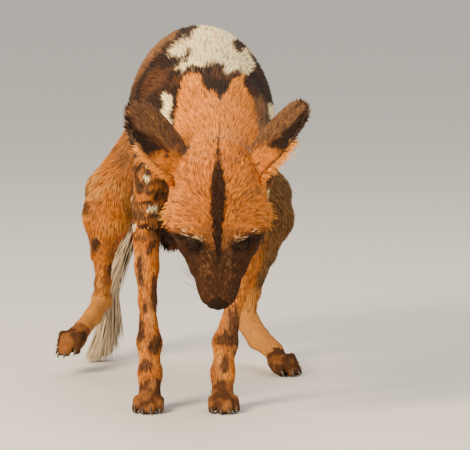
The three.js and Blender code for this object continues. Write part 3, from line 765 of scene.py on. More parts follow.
def torsoMarks(p, n, noise):
    a, h = inView(p)
    tide, fine, blotch = noise["tide"], noise["fine"], noise["blotch"]
    colour = np.repeat(tones["brown"][None], len(p), 0)
    colour = paint(colour, "black", smooth(-0.35, 0.05, blotch + 0.2 * fine))
    colour = paint(colour, "tan", smooth(0.22, 0.3, blotch + 0.12 * tide + 0.1 * fine))
    colour = paint(colour, "cream", smooth(0.62, 0.68, blotch + 0.1 * tide + 0.08 * fine))
    # black fur and painted shade: the front of the torso's underside, which looks down, is painted black
    colour = paint(colour, "black", 0.8 * smooth(0.5, 0.8, -n[:, 2]) * smooth(-60, 40, p[:, 1]))
    # what shows from the front: the nape, the shoulders and the top of the back
    shown = smooth(0.02, 0.12, n[:, 2] * 0.5 - n[:, 1]) * smooth(300, 262, p[:, 1])
    # the chest's underside is painted brown, for its dark fur and the shade under it
    chest = smooth(-0.1, -0.5, n[:, 2])
    front = np.repeat(tones["black"][None] * 1.25, len(p), 0)
    front = paint(front, "brown", smooth(0.1, 0.5, tide + 0.5 * fine) * 0.6)
    bend = 4.5 * tide
    for tone, outline in backPatches:
        soft = 2.4 if tone in ("cream", "paleTan") else 5.0
        front = paint(front, tone, smooth(-soft, soft, insideOutline(a + bend, h + 5 * fine, outline)))
    nape = smooth(-3, 3, insideOutline(a + bend, h + 5 * fine, backPatches[2][1]))
    front = paint(front, "tan", 0.9 * nape * smooth(290, 200, h + 8 * tide))
    line = smooth(2.6, 0.6, np.abs(a + 24 + 1.5 * tide)) * smooth(162, 150, h) * (p[:, 1] < -60)
    front = paint(paint(front, "black", 0.8 * line), "brown", chest)
    return mix(colour, front, np.clip(shown, 0, 1)[:, None])


def legMarks(p, label, n, noise):
    a, h = inView(p)
    z = p[:, 2]
    fine, tide = noise["fine"], noise["tide"]
    streaks = layeredNoise(p * vec(1, 1, 0.42), 26, 47)
    facing = smooth(-0.1, 0.35, -n[:, 1])
    colour = np.repeat(tones["tan"][None] * 0.86, len(p), 0)
    colour = paint(colour, "sand", 0.45 * smooth(0.05, 0.4, tide))
    colour = paint(colour, "umber", 0.55 * smooth(-0.1, 0.5, streaks + 0.5 * fine))
    dark = smooth(0.36, 0.46, streaks + 0.25 * fine - 0.42 * facing)
    colour = paint(colour, "brown", 0.9 * dark)
    # two of these patches are painted shadows
    for right, up, wide, high, lean in legPatches:
        x, y = a - right - lean * (h - up), h - up
        spot = np.hypot(x / wide, y / high) + 0.28 * fine
        colour = paint(colour, "brown", facing * smooth(1.25, 0.75, spot))
    # painted light and shade on the right thigh: umber towards its inner side, which is in shade, and sand
    # towards its outer side, where the light falls
    haunch = isPart(label, "thigh") * (p[:, 0] < 0) * facing
    colour = paint(colour, "umber", 0.55 * haunch * smooth(-222, -178, a + 8 * tide))
    sandy = 0.6 * haunch * smooth(-196, -226, a + 8 * tide)
    colour = paint(colour, "sand", sandy * smooth(-0.3, 0.3, tide + fine))
    upper = isPart(label, "foreleg") * smooth(262, 300, z + 8 * tide)
    swirl = layeredNoise(p, 20, 47)
    colour = paint(colour, "black", upper * smooth(-0.48, -0.30, swirl + 0.3 * fine) * 0.95)
    colour = paint(colour, "tan", upper * smooth(0.30, 0.40, swirl + 0.3 * fine))
    colour = paint(colour, "umber", 0.55 * upper * smooth(-0.5, 0.3, tide + fine))
    colour = paint(colour, "black", 0.8 * upper * smooth(0.15, 0.5, layeredNoise(p, 34, 49) + 0.3 * fine))
    colour = paint(colour, "cream", upper * smooth(0.58, 0.68, layeredNoise(p, 17, 88) + 0.3 * fine))
    # painted shade: the upper outer side of the left hind leg is darkened to olive for the shadow of the
    # head and body on it
    outer = isPart(label, "thigh", "shank") * (p[:, 0] > 0) * smooth(-0.75, -0.1, n[:, 0])
    outer *= smooth(570, 500, p[:, 1] + 30 * tide)
    colour = paint(colour, "shadedOlive", 0.85 * outer * smooth(-130, -90, h + 8 * tide))
    # hocks and insteps are sandy, the paws russet with dark toes
    foot = isPart(label, "hindfoot") | (isPart(label, "shank") & (z < 150))
    colour = paint(colour, "sand", foot * smooth(165, 105, z + 10 * tide) * 0.85)
    paw = isPart(label, "forepaw", "hindpaw")
    colour = paint(colour, "umber", paw * 0.7)
    colour = paint(colour, "brown", paw * smooth(-0.25, 0.3, streaks + 0.5 * fine + 0.1))
    return paint(colour, "pad", paw * smooth(0.55, 0.8, -n[:, 2]))


# Half width of the forehead's stripe, by the distance from the nose tip.
stripeAt = [[78, 94, 116, 139, 161, 185, 205, 219, 235, 243, 252, 268, 300],
            [3.0, 4.0, 5.6, 7.2, 8.6, 10.6, 11.0, 10.2, 6.0, 3.6, 2.3, 1.5, 1.2]]
# The dark mask reaches this far from the nose tip, by the distance from the face's midline.
maskAt = [[0, 8, 16, 26, 40, 58, 80], [92, 99, 108, 120, 130, 133, 130]]


def headMarks(p, noise):
    tide, fine, hairy = noise["tide"], noise["fine"], noise["hairy"]
    d = p - noseTip
    t, side, out = d @ rise, d[:, 0], d @ brow
    away = np.abs(side)
    colour = np.repeat(tones["tan"][None], len(p), 0)
    colour = paint(colour, "paleTan", smooth(-0.1, 0.7, hairy + 0.4 * tide) * 0.6 * smooth(110, 150, t))
    colour = paint(colour, "umber", 0.75 * smooth(0.15, 0.6, layeredNoise(p * vec(0.5, 0.5, 1), 5, 13, 2)))
    colour = paint(colour, "red", 0.3 * smooth(0, 40, out - 0.4 * away))
    between = smooth(40, 22, away + 4 * fine) * smooth(150, 116, t + 5 * tide)
    colour = paint(colour, "umber", between * (0.62 + 0.35 * hairy))
    edge = np.interp(away, *maskAt) + 4 * tide + 4 * fine
    mask = smooth(10, -12, t - edge + 5 * hairy)
    colour = paint(colour, "muzzle", mask * 0.97)
    bridge = smooth(16, 4, np.abs(away - 19)) * smooth(44, 66, t) * smooth(104, 90, t) * (out > 0)
    colour = paint(colour, "umber", bridge * smooth(-0.4, 0.6, hairy + 0.3 * fine) * 0.55)
    frosted = 0.4 * mask * smooth(0.2, 0.7, hairy) * smooth(100, 50, t)
    colour = paint(colour, "umber", frosted * smooth(34, 20, away))
    for s in sides.values():
        corners, gaze, over = eyeAxes(s)
        e = p - eyeAt(s)
        a, o = e @ corners, e @ over
        patch = np.hypot((a - 1) / 28, (o - 3) / 15.0) + 0.25 * fine + 0.2 * hairy
        colour = paint(colour, "black", smooth(1.25, 0.6, patch) * 0.96)
        brows = np.hypot((a + 1) / 26, (o - 17 - 0.08 * a) / 6.0)
        colour = paint(colour, "cream", smooth(1.3, 0.5, brows) * smooth(0.0, 0.4, hairy) * 0.5)
        colour = paint(colour, "black", smooth(1.3, 0.5, brows) * smooth(-0.15, -0.4, hairy) * 0.7)
    ridge = np.interp(t, *stripeAt) - np.abs(side + 0.8 * tide) + 2.4 * fine + 2.2 * hairy
    stripe = smooth(-2.0, 1.8, ridge) * (out > -30) * smooth(70, 90, t)
    return paint(colour, "black", stripe * 0.96)


def earMarks(p, n, s, noise):
    tide, fine, hairy = noise["tide"], noise["fine"], noise["hairy"]
    share, across, _ = earPlace(s, p)
    _, _, opening, _ = earAxes(s)
    q = across / (earSize["half"] * earAt(np.clip(share, 0, 1))[:, 0])
    colour = np.repeat(tones["tan"][None], len(p), 0)
    colour = paint(colour, "earBack", smooth(-0.08, 0.24, share + 0.08 * tide + 0.12 * hairy + 0.45 * q))
    colour = paint(colour, "umber", 0.6 * smooth(0.2, 0.7, hairy) * smooth(0.1, 0.4, share))
    # the front margin is black above and tan below, with brown patches inside it
    colour = paint(colour, "sand", 0.25 * smooth(0.1, 0.5, -hairy))
    colour = paint(colour, "tan", smooth(-0.55, -0.85, q) * smooth(0.42, 0.24, share + 0.08 * fine))
    line = smooth(0.26, 0.1, np.abs(q + 0.58 + 0.25 * (0.5 - share)))
    colour = paint(colour, "brown", line * smooth(-0.15, 0.2, tide + 0.4 * fine) * smooth(0.62, 0.5, share))
    colour = paint(colour, "black", smooth(-0.5, -0.72, q + 0.1 * fine) * smooth(0.26, 0.40, share))
    colour = paint(colour, "black", smooth(0.72, 0.95, q) * smooth(0.1, 0.3, share) * 0.6)
    colour = paint(colour, "black", smooth(0.93, 0.98, share))
    return paint(colour, "earInside", 0.8 * ((n @ opening) > 0))


def sheathMarks(p, n, noise):
    redness = 0.6 * smooth(-60, -30, p[:, :1]) * smooth(262, 240, p[:, 2:])
    return mix(tones["black"][None], tones["red"][None], redness)


def markings(p, label, n):
    noise = {
        "tide": layeredNoise(p, 26, 5),
        "fine": layeredNoise(p, 9, 9, 2),
        "hairy": layeredNoise(p, 3.2, 19, 2),
        "blotch": layeredNoise(p * vec(1, 0.8, 1), 82, 21),
    }
    colour = np.repeat(tones["tan"][None], len(p), 0)

    def put(mask, made):
        if mask.any():
            colour[mask] = made(p[mask], n[mask], {k: v[mask] for k, v in noise.items()})

    put(isPart(label, "torso", "neck"), torsoMarks)
    put(isPart(label, "sheath"), sheathMarks)
    legs = isPart(label, "foreleg", "shank", "thigh", "hindfoot", "forepaw", "hindpaw")
    put(legs, lambda p, n, noise: legMarks(p, label[legs], n, noise))
    put(isPart(label, "head"), lambda p, n, noise: headMarks(p, noise))
    for word, s in sides.items():
        put(isPart(label, "ear_" + word), lambda p, n, noise: earMarks(p, n, s, noise))

    # tail: tan root, a black ring and a white brush
    tail = isPart(label, "tail")
    top, tip = tailPoints[0][2], tailPoints[-1][2]
    share = np.clip((top - p[:, 2]) / (top - tip), 0, 1) + 0.03 * noise["fine"]
    colour = paint(colour, "black", tail * smooth(0.26, 0.32, share) * (share < brushStart + 0.06))
    colour = paint(colour, "cream", tail * smooth(brushStart, brushStart + 0.03, share))
    shade = 1 + 0.10 * noise["fine"] + 0.06 * noise["tide"] + 0.08 * noise["hairy"]
    return np.clip(colour * shade[:, None], 0.004, 0.97)


# Lie of the coat
tailFine = tailLine[0]


def coatLie(p, label, n):
    lie = np.repeat(vec(0, 1, -0.25)[None], len(p), 0)
    torso = isPart(label, "torso")
    chest = smooth(20, -50, p[:, 1])[:, None]
    rump = smooth(470, 590, p[:, 1])[:, None]
    flow = vec(0, 1, -0.1) + vec(0, 0, -0.75) * (1 - np.abs(n[:, 2:3]))
    flow = mix(flow, vec(0, 0.2, -1), chest)
    flow = mix(flow, vec(0, 0.5, -1), rump)
    lie = np.where(torso[:, None], flow, lie)
    neck = isPart(label, "neck")
    flow = vec(-0.06, 1, 0.2) + vec(0, 0, -0.5) * (1 - np.clip(n[:, 2:3], 0, 1))
    lie = np.where(neck[:, None], flow, lie)
    # over the face the coat runs up from the nose, and from the brows out and down to the cheeks
    d = p - noseTip
    t, side = d @ rise, d[:, 0]
    outward = (np.clip(side / 30, -1, 1) * smooth(60, 110, t) * smooth(250, 190, t))[:, None] * vec(1, 0, 0)
    sweep = (smooth(18, 62, np.abs(side)) * smooth(215, 165, t) * smooth(104, 128, t))[:, None]
    back = (0.35 + 0.7 * smooth(150, 240, t))[:, None]
    flow = rise * (1 - 0.95 * sweep) + outward * (0.45 + 0.75 * sweep) - brow * back
    lie = np.where(isPart(label, "head")[:, None], flow, lie)
    lie = np.where(isPart(label, "sheath")[:, None], vec(0, -0.8, -0.6), lie)
    lie = np.where(isPart(label, "foreleg", "shank", "forepaw")[:, None], vec(0, 0.12, -1), lie)
    lie = np.where(isPart(label, "thigh")[:, None],
                   vec(0, 0.25, -1) + 0.25 * np.sign(p[:, :1]) * vec(1, 0, 0), lie)
    for word, s in sides.items():
        foot = hindPawAhead[word]
        lie = np.where(isPart(label, "hindfoot_" + word, "hindpaw_" + word)[:, None], foot / 50, lie)
        _, along, _, across = earAxes(s)
        _, x, _ = earPlace(s, p)
        flow = along + across * (x / 60)[:, None]
        lie = np.where(isPart(label, "ear_" + word)[:, None], flow, lie)
    paw = isPart(label, "forepaw") & (p[:, 2] < 40)
    lie = np.where(paw[:, None], vec(0, -1, -0.35), lie)
    tail = isPart(label, "tail")
    if tail.any():
        near = np.argmin(((p[tail][:, None] - tailFine[None, ::4]) ** 2).sum(2), 1) * 4
        ahead = unit(tailFine[np.minimum(near + 3, len(tailFine) - 1)] - tailFine[np.maximum(near - 3, 0)])
        lie[tail] = ahead
    whirl = np.stack([layeredNoise(p, 38, 60 + c, 2) for c in range(3)], -1)
    calm = np.where(isPart(label, "head", "ear"), 0.10, 0.24)[:, None]
    lie = unit(lie) + calm * whirl
    lie = lie - n * (lie * n).sum(1, keepdims=True)
    return unit(lie)


# A node's output, which can be added, taken off and multiplied.
class Value:
    def __init__(self, nodes, socket):
        self.nodes, self.socket = nodes, socket

    def __add__(self, other):
        return self.nodes.maths("ADD", self, other)

    def __sub__(self, other):
        return self.nodes.maths("SUBTRACT", self, other)

    def __rsub__(self, other):
        return self.nodes.maths("SUBTRACT", other, self)

    def __mul__(self, other):
        return self.nodes.maths("MULTIPLY", self, other)

    __radd__ = __add__
    __rmul__ = __mul__


class Nodes:
    def __init__(self, tree):
        self.tree = tree

    def node(self, kind, settings=None, inputs=None, output=0):
        made = self.tree.nodes.new(kind)
        for key, value in (settings or {}).items():
            if key == "stops":
                stops = made.color_ramp.elements
                for at, _ in value[1:-1]:
                    stops.new(at)
                for stop, (at, tone) in zip(stops, value):
                    stop.position, stop.color = at, (*tone, 1)
            else:
                setattr(made, key, value)
        for key, value in (inputs or {}).items():
            self.put(made.inputs[key], value)
        return Value(self, made.outputs[output])

    def put(self, socket, value):
        value = value.socket if isinstance(value, Value) else value
        if isinstance(value, bpy.types.NodeSocket):
            self.tree.links.new(value, socket)
        else:
            socket.default_value = value

    def maths(self, kind, first, second):
        return self.node("ShaderNodeMath", {"operation": kind}, {0: first, 1: second})


class Shader(Nodes):
    def __init__(self, name):
        self.material = bpy.data.materials.new(name)
        self.material.use_nodes = True
        super().__init__(self.material.node_tree)
        self.surface = self.tree.nodes["Principled BSDF"]

    def finish(self, **inputs):
        for key, value in inputs.items():
            self.put(self.surface.inputs[key], value)
        return self.material

    def objectPoint(self):
        return self.node("ShaderNodeTexCoord", output=3)

    def noise(self, scale, detail, rough):
        inputs = {"Vector": self.objectPoint(), "Scale": scale, "Detail": detail, "Roughness": rough}
        return self.node("ShaderNodeTexNoise", None, inputs)

    def attribute(self, name, output=0):
        return self.node("ShaderNodeAttribute", {"attribute_name": name}, None, output)

    def between(self, factor, first, second, blend="MIX"):
        settings = {"data_type": "RGBA", "blend_type": blend}
        return self.node("ShaderNodeMix", settings, {0: factor, 6: first, 7: second}, 2)

    def tinted(self, colour, factor):
        grey = self.node("ShaderNodeCombineColor", None, {0: factor, 1: factor, 2: factor})
        return self.between(1.0, colour, grey, "MULTIPLY")

    def bump(self, height, strength, distance):
        inputs = {"Strength": strength, "Distance": distance, "Height": height}
        return self.node("ShaderNodeBump", None, inputs)


def skinMaterial():
    made = Shader("coat_skin")
    colour = made.attribute("coatColour")
    grain = made.noise(420.0, 4.0, 0.6)
    soft = made.noise(90.0, 3.0, 0.5)
    shade = 0.62 + grain * 0.3 + soft * 0.25
    return made.finish(
        **{
            "Base Color": made.tinted(colour, shade),
            "Roughness": 0.85,
            "Specular IOR Level": 0.08,
            "Normal": made.bump(grain, 0.5, 0.0012),
        }
    )


def hairMaterial(name, rootShade, tipShade):
    made = Shader(name)
    colour = made.attribute("coatColour")
    along = made.attribute("along", 2)
    soft = made.noise(140.0, 2.0, 0.5)
    # tufts are painted darker towards the root, as shade within the coat
    shade = (rootShade + along * (tipShade - rootShade)) * (0.8 + soft * 0.4)
    return made.finish(
        **{
            "Base Color": made.tinted(colour, shade),
            "Roughness": 0.6,
            "Specular IOR Level": 0.12,
        }
    )


def eyeMaterial():
    made = Shader("wet_eye")
    depth = made.attribute("gazeShare", 2)
    streak = made.noise(900.0, 2.0, 0.5)
    # from the white over the dark rim and the iris to the pupil
    stops = [(0.0, (0.10, 0.075, 0.06)), (0.62, (0.06, 0.03, 0.018)), (0.7, (0.10, 0.035, 0.010)),
             (0.86, (0.16, 0.06, 0.015)), (0.9, (0.004, 0.003, 0.003)), (1.0, (0.002, 0.002, 0.002))]
    tone = made.node("ShaderNodeValToRGB", {"stops": stops}, {0: depth + (streak - 0.5) * 0.04})
    return made.finish(**{"Base Color": tone, "Roughness": 0.12, "Specular IOR Level": 0.35})


def noseMaterial():
    made = Shader("nose_leather")
    inputs = {"Vector": made.objectPoint(), "Scale": 620.0}
    cells = made.node("ShaderNodeTexVoronoi", {"feature": "DISTANCE_TO_EDGE"}, inputs)
    fine = made.noise(1400.0, 3.0, 0.6)
    height = cells * 1.6 + fine * 0.3
    tone = made.between(fine, (0.006, 0.004, 0.003, 1), (0.028, 0.012, 0.006, 1))
    return made.finish(**{"Base Color": tone, "Roughness": 0.66 - cells * 0.3, "Specular IOR Level": 0.06,
                          "Normal": made.bump(height, 0.9, 0.0008)})


def hornMaterial():
    made = Shader("claw_horn")
    rings = made.noise(300.0, 3.0, 0.6)
    tone = made.between(rings, (0.018, 0.012, 0.009, 1), (0.09, 0.055, 0.035, 1))
    return made.finish(**{"Base Color": tone, "Roughness": 0.32, "Normal": made.bump(rings, 0.3, 0.0003)})


# A piece from points in millimetres
def newMesh(name, points, faces, material, smoothFaces=True):
    mesh = bpy.data.meshes.new(name)
    faces = faces.tolist() if isinstance(faces, np.ndarray) else faces
    mesh.from_pydata(toRow(points).tolist(), [], faces)
    if smoothFaces:
        mesh.shade_smooth()
    piece = bpy.data.objects.new(name, mesh)
    bpy.context.scene.collection.objects.link(piece)
    mesh.materials.append(material)
    return piece


def addValues(mesh, name, kind, domain, key, values):
    made = mesh.attributes.new(name, kind, domain)
    made.data.foreach_set(key, np.ascontiguousarray(values, np.float32).reshape(-1))


def addColour(mesh, colour):
    withAlpha = np.column_stack([colour, np.ones(len(colour))])
    addValues(mesh, "coatColour", "FLOAT_COLOR", "POINT", "color", withAlpha)


fleshNodes = ["torso", "neck", "head", "tail"]
for word in sides:
    fleshNodes += [n + word for n in ("ear_", "foreleg_", "forepaw_", "thigh_", "shank_", "hindfoot_")]

skinColour = markings(skinPoints, skinLabel, skinNormals)
skin = newMesh("skin", skinPoints, skinQuads, skinMaterial())
# the skin under the coat is painted darker, as shade under the hair
addColour(skin.data, skinColour * 0.8)
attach(skin, "root")
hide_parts(*fleshNodes)
print("skin done:", len(skinQuads) * 2, "triangles")


# One tuft: a ridged blade along X, wide at its middle and a point at its tip.
def tuftBlade():
    points = [(0, -0.36, 0), (0, 0, 0.25), (0, 0.36, 0), (0.48, -0.5, 0.16), (0.48, 0, 0.62),
              (0.48, 0.5, 0.16), (1, 0, 0.1)]
    faces = [(0, 3, 4, 1), (1, 4, 5, 2), (3, 6, 4), (4, 6, 5)]
    mesh = bpy.data.meshes.new("tuftBlade")
    mesh.from_pydata(points, [], faces)
    mesh.shade_smooth()
    addValues(mesh, "along", "FLOAT", "POINT", "value", [p[0] for p in points])
    addValues(mesh, "patch", "FLOAT_VECTOR", "POINT", "vector", [(p[0], p[1] + 0.5, 0) for p in points])
    return bpy.data.objects.new("tuftBlade", mesh)


bladeObject = tuftBlade()


def tuftTree():
    tree = bpy.data.node_groups.new("coatTufts", "GeometryNodeTree")
    kinds = {"Geometry": "Geometry", "Blade": "Object", "Size spread": "Float", "Seed": "Int",
             "Material": "Material"}
    for name, kind in kinds.items():
        tree.interface.new_socket(name, in_out="INPUT", socket_type="NodeSocket" + kind)
    tree.interface.new_socket("Geometry", in_out="OUTPUT", socket_type="NodeSocketGeometry")
    nodes = Nodes(tree)
    given = tree.nodes.new("NodeGroupInput").outputs
    turn, size = [
        nodes.node("GeometryNodeInputNamedAttribute", {"data_type": "FLOAT_VECTOR"}, {"Name": name})
        for name in ("turn", "size")
    ]
    blade = nodes.node("GeometryNodeObjectInfo", None, {"Object": given["Blade"]}, "Geometry")
    low = nodes.maths("SUBTRACT", 1.0, given["Size spread"])
    high = nodes.maths("ADD", 1.0, given["Size spread"])
    inputs = {2: low, 3: high, "Seed": given["Seed"]}
    spread = nodes.node("FunctionNodeRandomValue", {"data_type": "FLOAT"}, inputs, 1)
    scaled = nodes.node("ShaderNodeVectorMath", {"operation": "SCALE"}, {0: size, "Scale": spread})
    inputs = {"Points": given["Geometry"], "Instance": blade, "Rotation": turn, "Scale": scaled}
    real = nodes.node("GeometryNodeRealizeInstances", None,
                      {0: nodes.node("GeometryNodeInstanceOnPoints", None, inputs)})
    painted = nodes.node("GeometryNodeSetMaterial", None, {"Geometry": real, "Material": given["Material"]})
    nodes.put(tree.nodes.new("NodeGroupOutput").inputs[0], painted)
    return tree


tufts = tuftTree()
socketOf = {item.name: item.identifier for item in tufts.interface.items_tree if item.in_out == "INPUT"}


def eulerOf(lie, across, lift):
    return np.stack(
        [
            np.arctan2(across[:, 2], lift[:, 2]),
            np.arctan2(-lie[:, 2], np.hypot(lie[:, 0], lie[:, 1])),
            np.arctan2(lie[:, 1], lie[:, 0]),
        ],
        -1,
    )


def readVectors(mesh, name):
    values = np.empty(len(mesh.vertices) * 3, np.float32)
    mesh.attributes[name].data.foreach_get("vector", values)
    return values.reshape(-1, 3)


sizeSpread = 0.28
patchWidth = 0.003


# Sets a blade on every root. A root has a point, normal, lie, length, width, angle of rise, colour and
# place on the unwrap.
def growTufts(name, roots, material, seed):
    n, lie = roots["normal"], roots["lie"]
    angle = roots["angle"][:, None]
    forward = unit(lie * np.cos(angle) + n * np.sin(angle))
    across = unit(np.cross(n, forward))
    lift = np.cross(forward, across)
    # no hair reaches the floor, also when its size is spread
    room = (roots["points"][:, 2] - 0.8) / np.maximum(-forward[:, 2], 0.02) / (1 + sizeSpread)
    length = np.clip(room, 0.5, roots["length"])
    mesh = bpy.data.meshes.new(name + "_roots")
    mesh.from_pydata(toRow(roots["points"]).tolist(), [], [])
    size = np.column_stack([length, roots["width"], roots["width"] * 0.55]) / 1000
    addValues(mesh, "turn", "FLOAT_VECTOR", "POINT", "vector", eulerOf(forward, across, lift))
    addValues(mesh, "size", "FLOAT_VECTOR", "POINT", "vector", size)
    addValues(mesh, "rootPlace", "FLOAT_VECTOR", "POINT", "vector",
              np.column_stack([roots["place"], np.zeros(len(n))]))
    addColour(mesh, roots["colour"])
    source = bpy.data.objects.new(name + "_roots", mesh)
    bpy.context.scene.collection.objects.link(source)
    modifier = source.modifiers.new("coat", "NODES")
    modifier.node_group = tufts
    modifier[socketOf["Blade"]] = bladeObject
    modifier[socketOf["Size spread"]] = sizeSpread
    modifier[socketOf["Seed"]] = seed
    modifier[socketOf["Material"]] = material
    bpy.context.view_layer.update()
    ready = source.evaluated_get(bpy.context.evaluated_depsgraph_get())
    made = bpy.data.meshes.new_from_object(ready)
    source.modifiers.remove(modifier)
    bpy.data.objects.remove(source)
    made.name = name
    corner = np.empty(len(made.loops), np.int32)
    made.loops.foreach_get("vertex_index", corner)
    uv = (readVectors(made, "rootPlace") + readVectors(made, "patch") * patchWidth)[corner][:, :2]
    layer = made.uv_layers.new(name="OFBake")
    layer.data.foreach_set("uv", np.ascontiguousarray(uv, np.float32).reshape(-1))
    for extra in ("rootPlace", "patch", "turn", "size"):
        if extra in made.attributes:
            made.attributes.remove(made.attributes[extra])
    if not made.materials:
        made.materials.append(material)
    piece = bpy.data.objects.new(name, made)
    bpy.context.scene.collection.objects.link(piece)
    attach(piece, "root")
    print(name, len(n), "tufts", len(made.loops) - 2 * len(made.polygons), "triangles")
    return piece


# Roots spread evenly over the marked part of the skin.
def pickRoots(mask, count, seed):
    draw = np.random.default_rng(seed)
    tri = np.concatenate([skinQuads[:, [0, 1, 2]], skinQuads[:, [0, 2, 3]]])
    tri = tri[mask[tri[:, 0]]]
    a, b, c = skinPoints[tri[:, 0]], skinPoints[tri[:, 1]], skinPoints[tri[:, 2]]
    area = np.linalg.norm(np.cross(b - a, c - a), axis=1) / 2
    share = np.cumsum(area) / area.sum()
    chosen = np.searchsorted(share, (np.arange(count) + draw.random(count)) / count)
    chosen = np.minimum(chosen, len(tri) - 1)
    u, v = draw.random(count), draw.random(count)
    over = u + v > 1
    u, v = np.where(over, 1 - u, u), np.where(over, 1 - v, v)
    w = np.stack([1 - u - v, u, v], 1)
    t = tri[chosen]
    points = (skinPoints[t] * w[:, :, None]).sum(1)
    normal = unit((skinNormals[t] * w[:, :, None]).sum(1))
    return points, normal, skinLabel[t[:, 0]], draw


# A value from 0 to 1 on the unwrap, with room at the far edge for a tuft's own patch.
def onUnwrap(share):
    return 0.004 + 0.985 * share


# The unwrap of a region: the angle round its axis, and the way along it.
def unwrap(points, start, end, up):
    axis = unit(end - start)
    u = unit(up - axis * (up @ axis))
    w = np.cross(axis, u)
    d = points - start
    angle = np.arctan2(d @ w, d @ u)
    way = (d @ axis) / np.linalg.norm(end - start)
    low, high = way.min(), way.max()
    return np.column_stack([onUnwrap(angle / (2 * math.pi) + 0.5), onUnwrap((way - low) / (high - low))])


hair = hairMaterial("coat_hair", 0.55, 1.15)
onlyHead = np.arange(len(skinPoints)) >= len(bodyPoints)
inBody = ~onlyHead
notLapped = skinPoints[:, 1] > lapY - 6
inNeck = isPart(skinLabel, "neck") & (onlyHead | notLapped)
waistY = 235
inFront = skinPoints[:, 1] < waistY
# tufts: how many; length and width of a tuft in millimetres; tilt in degrees.
# start, end, up: the axes of the unwrap.
coats = {
    "coat_head": {
        "where": onlyHead & isPart(skinLabel, "head"), "tufts": 32000, "length": 10.5, "width": 1.5,
        "tilt": 15, "start": onHead(0, 0, 0), "end": onHead(266, 0, 0), "up": brow},
    "coat_ears": {
        "where": onlyHead & isPart(skinLabel, "ear"), "tufts": 20000, "length": 10.0, "width": 1.5,
        "tilt": 14, "start": vec(-60, -200, 500), "end": vec(120, -200, 500), "up": upward},
    "coat_neck": {
        "where": inNeck, "tufts": 30000, "length": 19.0, "width": 2.0,
        "tilt": 13, "start": vec(30, -220, 402), "end": vec(8, 90, 452), "up": upward},
    "coat_torso_front": {
        "where": inBody & isPart(skinLabel, "torso") & inFront, "tufts": 32000, "length": 23.0,
        "width": 2.1,
        "tilt": 13, "start": vec(0, -60, 440), "end": vec(0, waistY, 440), "up": upward},
    "coat_torso_back": {
        "where": inBody & isPart(skinLabel, "torso", "sheath") & ~inFront,
        "tufts": 32000, "length": 22.0, "width": 2.3,
        "tilt": 13, "start": vec(0, waistY, 450), "end": vec(-30, 600, 430), "up": upward},
    "coat_forelegs": {
        "where": inBody & isPart(skinLabel, "foreleg", "forepaw"), "tufts": 30000, "length": 9.5,
        "width": 1.6,
        "tilt": 10, "start": vec(0, 20, 500), "end": vec(0, 20, 0), "up": vec(0, 1, 0)},
    "coat_hindlegs": {
        "where": inBody & isPart(skinLabel, "thigh", "shank", "hindfoot", "hindpaw"),
        "tufts": 32000, "length": 12.0, "width": 1.8,
        "tilt": 10.5, "start": vec(-30, 480, 480), "end": vec(-30, 480, 0), "up": vec(0, 1, 0)},
    "coat_tail": {
        "where": inBody & isPart(skinLabel, "tail"), "tufts": 5000, "length": 20.0, "width": 2.0,
        "tilt": 14, "start": vec(-34, 548, 438), "end": vec(-128, 626, 214), "up": upward},
}
# bare: the eyeballs within this distance of their middles, the nose pad below and in front of these places,
# what is nearly at the floor, and skin that looks down by this much under a paw
bare = {"eye": 13.8, "noseEnd": 22, "noseFront": 4, "floor": 2.5, "sole": -0.75}
coatShare = 1.0
for index, (name, coat) in enumerate(coats.items()):
    points, normal, label, draw = pickRoots(coat["where"], int(coat["tufts"] * coatShare), 100 + index)
    paw = isPart(label, "forepaw", "hindpaw", "hindfoot")
    small = np.where(paw, 0.42, 1.0)
    # short hair on the muzzle and round the eyes, and none on the nose, the eyeballs and the soles
    if name == "coat_head":
        t = (points - noseTip) @ rise
        small = mix(0.36, 1.0, smooth(15, 150, t))
        near = np.min([np.linalg.norm(points - eyeAt(s), axis=1) for s in sides.values()], 0)
        small *= mix(0.45, 1, smooth(12, 26, near))
        onNose = (t < bare["noseEnd"]) & ((points - noseTip) @ brow > bare["noseFront"])
        keep = (near > bare["eye"]) & ~onNose
    else:
        keep = (points[:, 2] > bare["floor"]) & ~(paw & (normal[:, 2] < bare["sole"]))
    points, normal, label, small = points[keep], normal[keep], label[keep], small[keep]
    lie = coatLie(points, label, normal)
    tint = 1 + 0.20 * draw.standard_normal(len(points)).clip(-2, 2)
    # some hairs have dark tips and some are bleached
    chance, specks = draw.random(len(points)), 0.17 if name == "coat_head" else 0.09
    tint = np.where(chance < specks, tint * 0.42, np.where(chance > 0.92, tint * 1.3, tint))
    roots = {
        "points": points - normal * 0.5,
        "normal": normal,
        "lie": lie,
        "length": coat["length"] * small,
        "width": coat["width"] * np.sqrt(small),
        "angle": math.radians(coat["tilt"]) * (0.75 + 0.5 * draw.random(len(points))),
        "colour": np.clip(markings(points, label, normal) * tint[:, None], 0.003, 0.95),
        "place": unwrap(points, coat["start"], coat["end"], coat["up"]),
    }
    piece = growTufts(name, roots, hair, 7 + index)


# Longer single hairs: whiskers, lashes, cheek bristles and the fringe of the ears' front margins
singleHairs = {
    "fringe": {"count": 1500, "length": 17.0, "width": 1.0},
    "whisker": {"count": 34, "length": 42.0, "width": 0.5},
    "lash": {"count": 70, "length": 6.5, "width": 0.5},
    "bristle": {"count": 420, "length": 16.0, "width": 0.8},
}
hairDraw = np.random.default_rng(63)


def nearestSkin(places):
    face = np.flatnonzero(onlyHead)
    best = np.empty(len(places), int)
    for i, place in enumerate(places):
        best[i] = face[np.argmin(((skinPoints[face] - place) ** 2).sum(1))]
    return best


